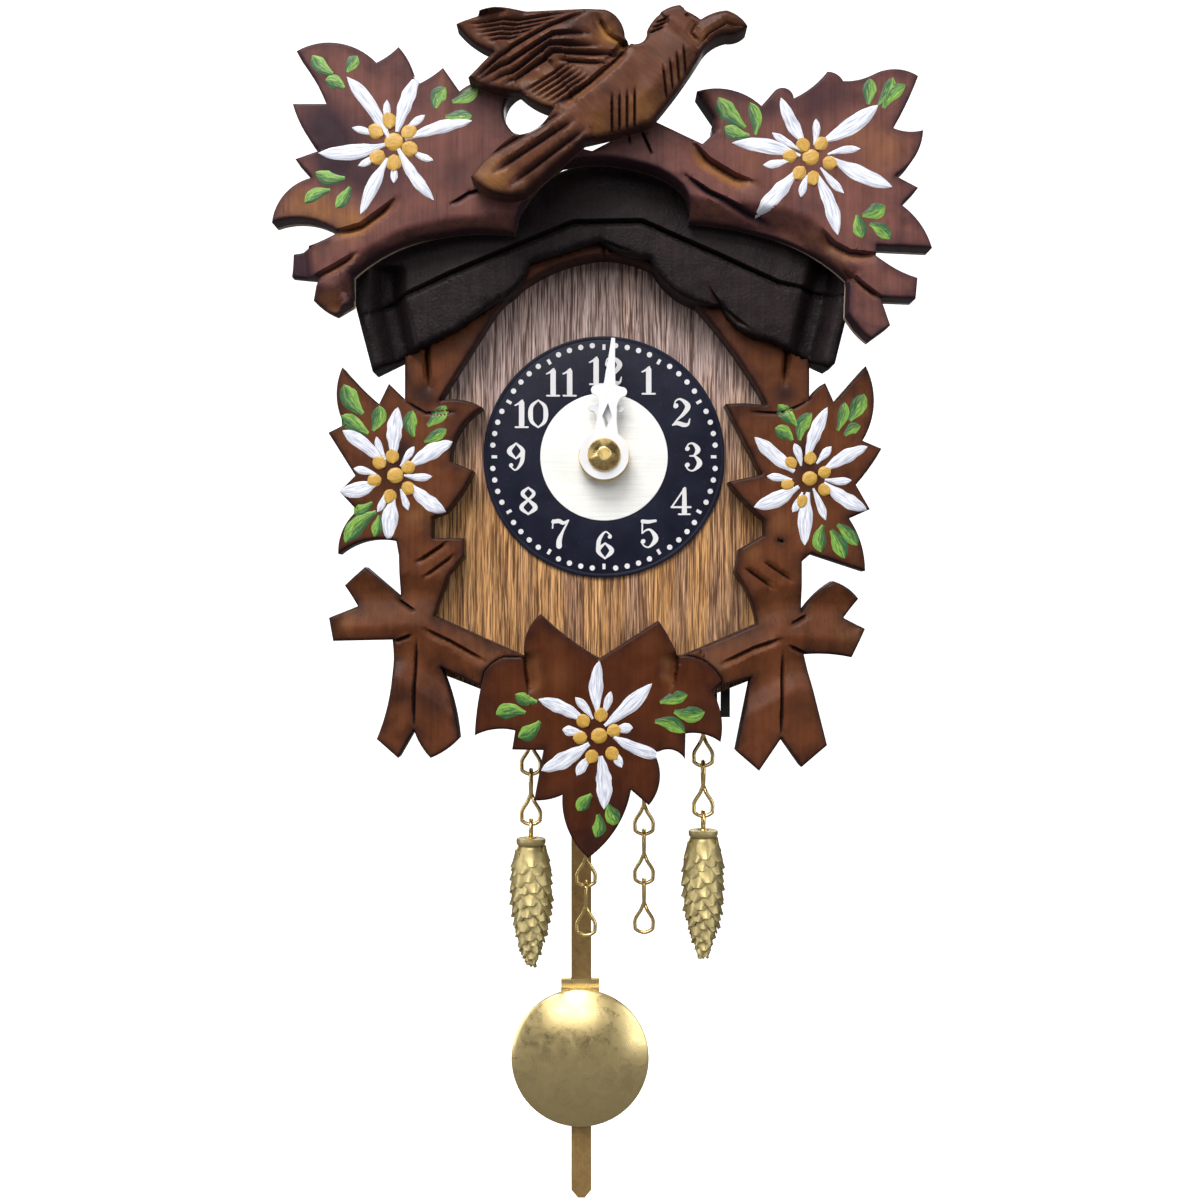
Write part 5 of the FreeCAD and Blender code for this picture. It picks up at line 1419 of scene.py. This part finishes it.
def cone_scales_tree():
    """Scales set round a turned body by the golden angle, each leaning out over the one below."""
    tree, given, out = new_tree("Cone Scales", {
        "Count": ("Int", 96), "Height": ("Float", 0.020), "Top": ("Vector", (0.0, 0.0, 0.0)), "Widest": ("Float",
            0.0033),
        "Scale Size": ("Float", 0.0026), "Lean": ("Float", 0.5), "Seed": ("Int", 3), "Material": ("Material", None),
    })
    places = node(tree, "Points", {"Count": given["Count"]}).outputs[0]
    index = node(tree, "InputIndex").outputs[0]
    share = calc(tree, "DIVIDE", plus(tree, index, 0.5), given["Count"])
    turn = times(tree, index, GOLDEN_ANGLE)
    girth = add(tree, "FloatCurve", {"Factor": 1.0, "Value": share})
    curve = girth.mapping.curves[0]
    for i, (x, y) in enumerate(((0.0, 0.80), (0.16, 0.97), (0.36, 1.0), (0.58, 0.86), (0.80, 0.56), (1.0, 0.16))):
        if i < 2:
            curve.points[i].location = (x, y)
        else:
            curve.points.new(x, y)
    girth.mapping.update()
    radius = times(tree, girth.outputs[0], given["Widest"])
    down = times(tree, times(tree, share, given["Height"]), -1.0)
    spot = vector(tree, times(tree, calc(tree, "COSINE", turn), radius),
                  times(tree, calc(tree, "SINE", turn), radius), down)
    put = node(tree, "SetPosition", {"Geometry": places, "Position": spot, "Offset": given["Top"]}).outputs[0]
    petal = node(tree, "MeshGrid", {"Size X": 1.0, "Size Y": 1.0, "Vertices X": 7, "Vertices Y": 7}).outputs[0]
    at = add(tree, "SeparateXYZ", {0: node(tree, "InputPosition").outputs[0]}).outputs
    along = plus(tree, at[0], 0.5)
    spread_out = calc(tree, "POWER", calc(tree, "SINE", calc(tree, "MULTIPLY_ADD", along, 2.35, 0.55)), 0.6)
    across = times(tree, at[1], spread_out)
    rippled = times(tree, calc(tree, "SINE", times(tree, at[1], 11.0)), 0.035)
    dish = times(tree, calc(tree, "POWER", calc(tree, "ABSOLUTE", at[1]), 2.0), -0.55)
    curl = times(tree, calc(tree, "POWER", along, 2.2), 0.17)
    lift = plus(tree, plus(tree, dish, curl), times(tree, rippled, along))
    petal = node(tree, "SetPosition", {"Geometry": petal, "Position": vector(tree, along, across, lift)}).outputs[0]
    thick = node(tree, "ExtrudeMesh", {"Mesh": petal, "Offset Scale": 0.08, "Individual": False})
    closed = node(tree, "JoinGeometry")
    tree.links.new(thick.outputs[0], closed.inputs[0])
    tree.links.new(node(tree, "FlipFaces", {"Mesh": petal}).outputs[0], closed.inputs[0])
    size = node(tree, "RandomValue", {2: 0.88, 3: 1.12, "ID": index, "Seed": given["Seed"]}, "FunctionNode",
        data_type="FLOAT")
    grow = times(tree, times(tree, given["Scale Size"], size.outputs[1]),
                  calc(tree, "MULTIPLY_ADD", girth.outputs[0], 0.55, 0.5))
    tip = node(tree, "RandomValue", {2: -0.03, 3: 0.03, "ID": index, "Seed": plus(tree, given["Seed"], 7)},
               "FunctionNode", data_type="FLOAT")
    pitch = calc(tree, "SUBTRACT", math.pi / 2 - 0.04, plus(tree, given["Lean"], tip.outputs[1]))
    pitch = plus(tree, pitch, times(tree, share, 0.12))
    copies = node(tree, "InstanceOnPoints", {"Points": put, "Instance": closed.outputs[0],
        "Rotation": vector(tree, 0.0, pitch, turn),
                                             "Scale": vector(tree, grow, grow, grow)}).outputs[0]
    return end_tree(tree, copies, given["Material"], out)


TREES = {}


# ---- the clock's pieces ----
def build_case():
    """Roof, walls, floor, front board and the parts at the back."""
    for name, width, slot in (
        ("front_board", 0.25, "front_veneer"), ("side_wall_left", 0.3, "case_wood"), ("side_wall_right", 0.3,
            "case_wood"),
        ("roof_board_left", 0.35, "roof_wood"), ("roof_board_right", 0.35, "roof_wood"), ("floor_left", 0.25,
            "case_wood"),
        ("floor_right", 0.25, "case_wood"), ("gable_panel", 0.25, "case_wood"), ("hanger_plate", 0.12, "nickel"),
        ("fixing_screws", 0.12, "steel"),
    ):
        softened(name, width, slot)


def build_dial(marks):
    """Dial plate, print, centre bush and its nut."""
    cx, cz, front = DIAL_CENTRE.x, DIAL_CENTRE.z, DIAL_FRONT
    depth = (DIAL_HIGH.y - DIAL_LOW.y) / MM
    edge, silver = 0.16, marks.silver_radius / MM
    profile = [
        (3.3, front + depth), (3.3, front), (silver - 0.06, front), (silver, front + 0.04), (silver + 0.06, front),
        (DIAL_R - 0.75, front), (DIAL_R - 0.62, front + 0.05), (DIAL_R - 0.50, front), (DIAL_R - edge, front),
        (DIAL_R - 0.05, front + 0.05), (DIAL_R, front + edge), (DIAL_R, front + depth),
    ]
    which = [1, 1, 1, 0, 0, 0, 0, 0, 0, 0, 0, 0]
    plate = turned("dial_finished", profile, (cx, 0, cz), "Y", 160,
        [MATERIALS["dial_ring"], MATERIALS["dial_silver"]], which)
    finish_piece(plate, "root", ["dial_plate"])
    strokes, tall = [], marks.numeral_height / MM
    for hour in range(1, 13):
        angle = math.radians(hour * 30)
        ring = (marks.numeral_radius / MM) * (1.0 if hour not in (10, 11, 12) else 0.975)
        x, z = cx + ring * math.sin(angle), cz + ring * math.cos(angle)
        wide = DIGIT_WIDTH * tall * 0.94
        left = x - wide * len(str(hour)) / 2 + (0.04 * tall if hour > 9 else 0.0)
        for digit in str(hour):
            step = wide * (0.86 if digit == "1" and hour > 9 else 1.0)
            for stroke in NUMERALS[digit]:
                strokes.append([(left + px * tall, z + (pz - 0.5) * tall, w * tall) for px, pz, w in stroke])
            left += step
    numerals = printed("dial_numerals", strokes, 0.05, 0.03, MATERIALS["numeral_print"])
    finish_piece(numerals, "root")
    TREES["marks"] = TREES.get("marks") or dial_marks_tree()
    centre = (cx * MM, (front + 0.01) * MM, cz * MM)
    for name, inputs in (
        ("dial_dots", {"Count": 60, "Skip Every": 5, "Radius": marks.dot_radius, "Size": (0.00088, 0.00088, 0.00012),
            "Bars": False}),
        ("dial_bars", {"Count": 12, "Radius": marks.dot_radius - 0.00035, "Size": (0.0005, 0.0009, 0.00014),
            "Bars": True}),
    ):
        obj = grown(name, TREES["marks"], {**inputs, "Centre": centre, "Material": MATERIALS["numeral_print"]})
        finish_piece(obj, "root")
    softened("centre_bush", 0.1, "brass")
    softened("dial_nut", 0.2, "brass")


def build_hands():
    """Moulded hands and their cap nut."""
    for name in ("hour_hand", "minute_hand"):
        softened(name, 0.14, "hand_plastic", 3)
    softened("hand_nut", 0.12, "brass", 3)
    softened("minute_arbor", 0.06, "steel")


def build_movement():
    """Housing, cover and knob, and the works inside, which keep their CAD shape."""
    for name, width, slot in (
        ("movement_housing", 0.35, "black_plastic"), ("rear_cover", 0.25, "black_plastic"), ("setting_knob", 0.3,
            "black_plastic"),
        ("battery", 0.5, "battery_jacket"), ("pendulum_lever", 0.15, "white_plastic"), ("chain_bar", 0.15,
            "black_plastic"),
        ("drive_coil", 0.3, "copper"), ("pendulum_coil", 0.3, "copper"), ("lever_magnet", 0.2, "magnet"),
        ("battery_contact_plus", 0.1, "nickel"), ("battery_contact_minus", 0.1, "nickel"),
    ):
        softened(name, width, slot)
    for name, slot in (
        ("hour_wheel", "white_plastic"), ("motion_wheel", "white_plastic"), ("circuit_board", "board_green"),
        ("stator", "steel"), ("rotor", "magnet"), ("pivot_pin", "steel"),
    ):
        softened(name, 0.04, slot, 1)


def build_pendulum():
    """Rod, pressed bob with its rolled rim, and the clip behind it."""
    softened("pendulum_rod", 0.22, "rod_brass", 1)
    softened("bob_clip", 0.1, "satin_brass")
    low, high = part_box("pendulum_bob")
    front, rear = low.y / MM, high.y / MM
    radius = (high.x - low.x) / 2 / MM
    centre = ((low.x + high.x) / 2 / MM, 0, (low.z + high.z) / 2 / MM)
    rise = rear - front - BOB_SHELL
    ball = (radius**2 + rise**2) / (2 * rise)
    reach = np.linspace(0, math.asin((radius - 0.12) / ball), 20)
    profile = [(ball * math.sin(t), front + ball * (1 - math.cos(t))) for t in reach]
    profile += [(radius, front + rise + 0.05), (radius, rear - 0.12), (radius - 0.12, rear), (radius - 0.3, rear)]
    inner = ball - BOB_SHELL
    profile += [(inner * math.sin(t), front + ball - inner * math.cos(t)) for t in reach[::-1] * 0.985]
    bob = turned("pendulum_bob_finished", profile, centre, "Y", 128, [MATERIALS["satin_brass"]], closed=False)
    finish_piece(bob, body_of("pendulum_bob"), ["pendulum_bob"])


def build_chains():
    """Jack chain: every link is one closed wire loop."""
    TREES["link"] = TREES.get("link") or chain_link_tree()
    for name in sorted(frame["nodes"]):
        if not name.startswith(("chain_left_", "chain_right_", "tail_left_", "tail_right_")):
            continue
        low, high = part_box(name)
        obj = grown(name + "_finished", TREES["link"], {
            "Length": high.z - low.z, "Centre": tuple((low + high) / 2), "Material": MATERIALS["brass"],
        }, 60)
        finish_piece(obj, body_of(name), [name])


def build_cones():
    """Pine cone weights with golden-angle scales, and the wire eyes they hang by."""
    TREES["scales"] = TREES.get("scales") or cone_scales_tree()
    for side in ("left", "right"):
        name = "cone_" + side
        low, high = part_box(name)
        top = high.z / MM
        centre = ((low.x + high.x) / 2 / MM, (low.y + high.y) / 2 / MM, 0)
        profile = [(r, top + z) for r, z in CONE_SHAPE]
        body = turned(name + "_core", profile, centre, "Z", 48, [MATERIALS["cone_gold"]], closed=False)
        finish_piece(body, body_of(name), [name])
        scales = grown(name + "_scales", TREES["scales"], {
            "Count": 104, "Height": CONE_HEIGHT * MM, "Top": (centre[0] * MM, centre[1] * MM,
                (top - 1.2) * MM), "Widest": CONE_WIDEST * MM,
            "Scale Size": 2.75 * MM, "Lean": 0.07, "Seed": 3 if side == "left" else 8, "Material": MATERIALS["cone_gold"],
        }, 50)
        finish_piece(scales, body_of(name))
        softened(name + "_eye", 0.05, "brass", 1)


# ---- stage ----
def area_light(name, place, target, size, watts, colour):
    lamp = bpy.data.lights.new(name, "AREA")
    lamp.shape, lamp.size, lamp.size_y = "RECTANGLE", size[0], size[1]
    lamp.energy, lamp.color = watts, colour
    obj = linked(name, lamp)
    obj.location = place
    obj.rotation_euler = (Vector(target) - Vector(place)).to_track_quat("-Z", "Y").to_euler()
    return obj


def backdrop_finish():
    """Pale paper that glows a little, so that it stays even in every direction."""
    tree, shader, place = new_material("backdrop")
    cloud = mist(tree, place, 0.004, 3.0)
    colour = tint(tree, cloud, (0.90, 0.90, 0.90), (0.94, 0.94, 0.94))
    dress(tree, shader, colour, 0.9, mist(tree, place, 0.6, 3.0), 0.1, 0.1)
    path = add(tree, "LightPath").outputs
    glow = add(tree, "Emission", {"Color": (1.0, 1.0, 1.0, 1.0), "Strength": 0.8})
    whole = add(tree, "AddShader")
    tree.links.new(shader.outputs[0], whole.inputs[0])
    tree.links.new(glow.outputs[0], whole.inputs[1])
    dim = add(tree, "BsdfDiffuse", {"Color": (0.07, 0.07, 0.075, 1.0)})
    bounced = calc(tree, "MAXIMUM", path["Is Diffuse Ray"], times(tree, path["Is Glossy Ray"], 0.93))
    mixed = add(tree, "MixShader", {0: bounced})
    tree.links.new(whole.outputs[0], mixed.inputs[1])
    tree.links.new(dim.outputs[0], mixed.inputs[2])
    tree.links.new(mixed.outputs[0], tree.nodes["Material Output"].inputs["Surface"])


def build_stage(setup):
    """Camera, cove, soft lights and the plain sky behind them."""
    floor = CAD_BOX[0][2] - setup.floor_gap
    radius, bend = setup.cove_radius, 0.45
    profile = [(0.0, floor), (radius - bend, floor)]
    profile += [(radius - bend + bend * math.sin(t), floor + bend - bend * math.cos(t)) for t in np.linspace(0.1,
        math.pi / 2, 14)]
    profile += [(radius, floor + 1.6), (radius + 0.02, floor + 1.6)]
    backdrop_finish()
    cove = turned("cove", [(r / MM, z / MM) for r, z in profile], (0, 0, 0), "Z", 96, [MATERIALS["backdrop"]],
        closed=False)
    cove.data.flip_normals()
    smooth_edges(cove.data, 60)
    key = setup.key_watts
    lights = [area_light(name, place, (0, 0, middle), size, key * share, colour) for (
        name, place, middle, size, share, colour
    ) in (
        ("key", (-0.18, -0.62, 0.62), -0.05, (0.5, 0.4), 1.0, (1.0, 0.985, 0.965)),
        ("card", (-0.12, -0.95, 0.30), -0.06, (0.7, 0.25), 0.22, (1.0, 0.99, 0.97)),
        ("fill", (0.75, -0.55, 0.02), -0.07, (0.5, 0.8), 0.3, (0.96, 0.98, 1.0)),
        ("side", (-0.8, -0.25, 0.05), -0.07, (0.4, 0.8), 0.26, (0.97, 0.98, 1.0)),
        ("rear", (0.1, 0.8, 0.45), -0.07, (0.6, 0.5), 0.28, (1.0, 1.0, 1.0)),
    )]
    world = bpy.data.worlds.new("soft sky")
    world.use_nodes = True
    plug(world.node_tree, world.node_tree.nodes["Background"], {"Color": rgba((1.0, 1.0, 1.0)),
        "Strength": setup.sky})
    scene = bpy.context.scene
    scene.world = world
    scene.view_settings.view_transform = "Standard"
    lens = bpy.data.cameras.new("camera")
    lens.lens, lens.sensor_width, lens.clip_start = 49.0, 36.0, 0.01
    camera = linked("camera", lens)
    camera.location = (-0.00066, -0.305, -0.0577)
    camera.rotation_euler = (math.pi / 2, 0.0, 0.0)
    scene.camera = camera


# ---- add-on ----
class ClockFinish(bpy.types.PropertyGroup):
    crown: bpy.props.FloatVectorProperty(
        name="Crown Stain", description="Stain of the carved crown", subtype="COLOR", size=3, min=0.0, max=1.0,
        default=(0.175, 0.070, 0.058))
    bird: bpy.props.FloatVectorProperty(
        name="Bird Stain", description="Stain of the carved bird", subtype="COLOR", size=3, min=0.0, max=1.0,
        default=(0.14, 0.054, 0.030))
    surround: bpy.props.FloatVectorProperty(
        name="Surround Stain", description="Stain of the leaves beside the dial", subtype="COLOR", size=3, min=0.0, max=1.0,
        default=(0.135, 0.043, 0.017))
    leaf: bpy.props.FloatVectorProperty(
        name="Bottom Leaf Stain", description="Stain of the leaf below the dial", subtype="COLOR", size=3, min=0.0, max=1.0,
        default=(0.088, 0.024, 0.0085))


class ClockCarving(bpy.types.PropertyGroup):
    grid: bpy.props.FloatProperty(
        name="Detail", description="Spacing of the carved surface's points", unit="LENGTH", default=0.0006, min=0.0002)


class ClockMarks(bpy.types.PropertyGroup):
    numeral_height: bpy.props.FloatProperty(
        name="Numeral Height", description="Height of the hour numerals", unit="LENGTH", default=0.0047)
    numeral_radius: bpy.props.FloatProperty(
        name="Numeral Circle", description="Radius of the circle the numerals stand on", unit="LENGTH", default=0.0146)
    dot_radius: bpy.props.FloatProperty(
        name="Minute Circle", description="Radius of the circle of minute dots", unit="LENGTH", default=0.0185)
    silver_radius: bpy.props.FloatProperty(
        name="Silver Disc", description="Radius of the brushed silver disc", unit="LENGTH", default=0.01055)


class ClockStage(bpy.types.PropertyGroup):
    key_watts: bpy.props.FloatProperty(name="Key Light", description="Power of the key light", unit="POWER",
        default=11.0)
    sky: bpy.props.FloatProperty(name="Sky", description="Strength of the even light all round", default=0.22)
    cove_radius: bpy.props.FloatProperty(
        name="Cove Radius", description="Radius of the round backdrop", unit="LENGTH", default=1.5)
    floor_gap: bpy.props.FloatProperty(
        name="Floor Gap", description="How far below the weights the floor lies", unit="LENGTH", default=0.07)


class CLOCK_OT_materials(bpy.types.Operator):
    """Makes the shared effects and every finish"""
    bl_idname, bl_label = "clock.materials", "Finishes"

    def execute(self, context):
        build_groups()
        build_materials(context.scene.clock_finish)
        return {"FINISHED"}


class CLOCK_OT_carvings(bpy.types.Operator):
    """Carves the crown, the bird, the fascia, the surround and the bottom leaf"""
    bl_idname, bl_label = "clock.carvings", "Carvings"

    def execute(self, context):
        for name in CARVINGS:
            carve(name, context.scene.clock_carving.grid / MM)
        return {"FINISHED"}


class CLOCK_OT_flowers(bpy.types.Operator):
    """Paints the flowers and leaves on the carvings"""
    bl_idname, bl_label = "clock.flowers", "Painted Flowers"

    def execute(self, context):
        for name in FLOWERS:
            paint_flowers(name)
        return {"FINISHED"}


class CLOCK_OT_case(bpy.types.Operator):
    """Builds the case, the hanger and the screws"""
    bl_idname, bl_label = "clock.case", "Case"

    def execute(self, context):
        build_case()
        return {"FINISHED"}


class CLOCK_OT_dial(bpy.types.Operator):
    """Builds the dial with its print, the bush and the nut"""
    bl_idname, bl_label = "clock.dial", "Dial"

    def execute(self, context):
        build_dial(context.scene.clock_marks)
        return {"FINISHED"}


class CLOCK_OT_hands(bpy.types.Operator):
    """Builds the hands, their cap nut and the arbor"""
    bl_idname, bl_label = "clock.hands", "Hands"

    def execute(self, context):
        build_hands()
        return {"FINISHED"}


class CLOCK_OT_movement(bpy.types.Operator):
    """Builds the quartz movement, its battery and the chain bar"""
    bl_idname, bl_label = "clock.movement", "Movement"

    def execute(self, context):
        build_movement()
        return {"FINISHED"}


class CLOCK_OT_pendulum(bpy.types.Operator):
    """Builds the pendulum rod, the bob and its clip"""
    bl_idname, bl_label = "clock.pendulum", "Pendulum"

    def execute(self, context):
        build_pendulum()
        return {"FINISHED"}


class CLOCK_OT_chains(bpy.types.Operator):
    """Builds every chain link"""
    bl_idname, bl_label = "clock.chains", "Chains"

    def execute(self, context):
        build_chains()
        return {"FINISHED"}


class CLOCK_OT_cones(bpy.types.Operator):
    """Builds the pine cone weights and their eyes"""
    bl_idname, bl_label = "clock.cones", "Cone Weights"

    def execute(self, context):
        build_cones()
        return {"FINISHED"}


class CLOCK_OT_stage(bpy.types.Operator):
    """Sets the camera, the backdrop and the lights"""
    bl_idname, bl_label = "clock.stage", "Stage"

    def execute(self, context):
        build_stage(context.scene.clock_stage)
        return {"FINISHED"}


OPERATORS = (
    CLOCK_OT_materials, CLOCK_OT_carvings, CLOCK_OT_flowers, CLOCK_OT_case, CLOCK_OT_dial, CLOCK_OT_hands,
    CLOCK_OT_movement, CLOCK_OT_pendulum, CLOCK_OT_chains, CLOCK_OT_cones, CLOCK_OT_stage,
)
GROUPS_OF_PROPERTIES = {
    "clock_finish": ClockFinish, "clock_carving": ClockCarving, "clock_marks": ClockMarks, "clock_stage": ClockStage,
}


class CLOCK_PT_panel(bpy.types.Panel):
    """Lists the clock's properties and the steps that build it"""
    bl_label = "Carved Wall Clock"
    bl_idname = "CLOCK_PT_panel"
    bl_space_type = "VIEW_3D"
    bl_region_type = "UI"
    bl_category = "Clock"

    def draw(self, context):
        for key, group in GROUPS_OF_PROPERTIES.items():
            box = self.layout.box()
            for name in group.__annotations__:
                box.prop(getattr(context.scene, key), name)
        for operator in OPERATORS:
            self.layout.operator(operator.bl_idname)


def register():
    for item in (*GROUPS_OF_PROPERTIES.values(), *OPERATORS, CLOCK_PT_panel):
        bpy.utils.register_class(item)
    for key, group in GROUPS_OF_PROPERTIES.items():
        setattr(bpy.types.Scene, key, bpy.props.PointerProperty(type=group))


def unregister():
    for key in GROUPS_OF_PROPERTIES:
        delattr(bpy.types.Scene, key)
    for item in (CLOCK_PT_panel, *OPERATORS[::-1], *GROUPS_OF_PROPERTIES.values()):
        bpy.utils.unregister_class(item)


def main():
    register()
    for operator in OPERATORS:
        module, name = operator.bl_idname.split(".")
        getattr(getattr(bpy.ops, module), name)()


if __name__ == "__main__":
    main()
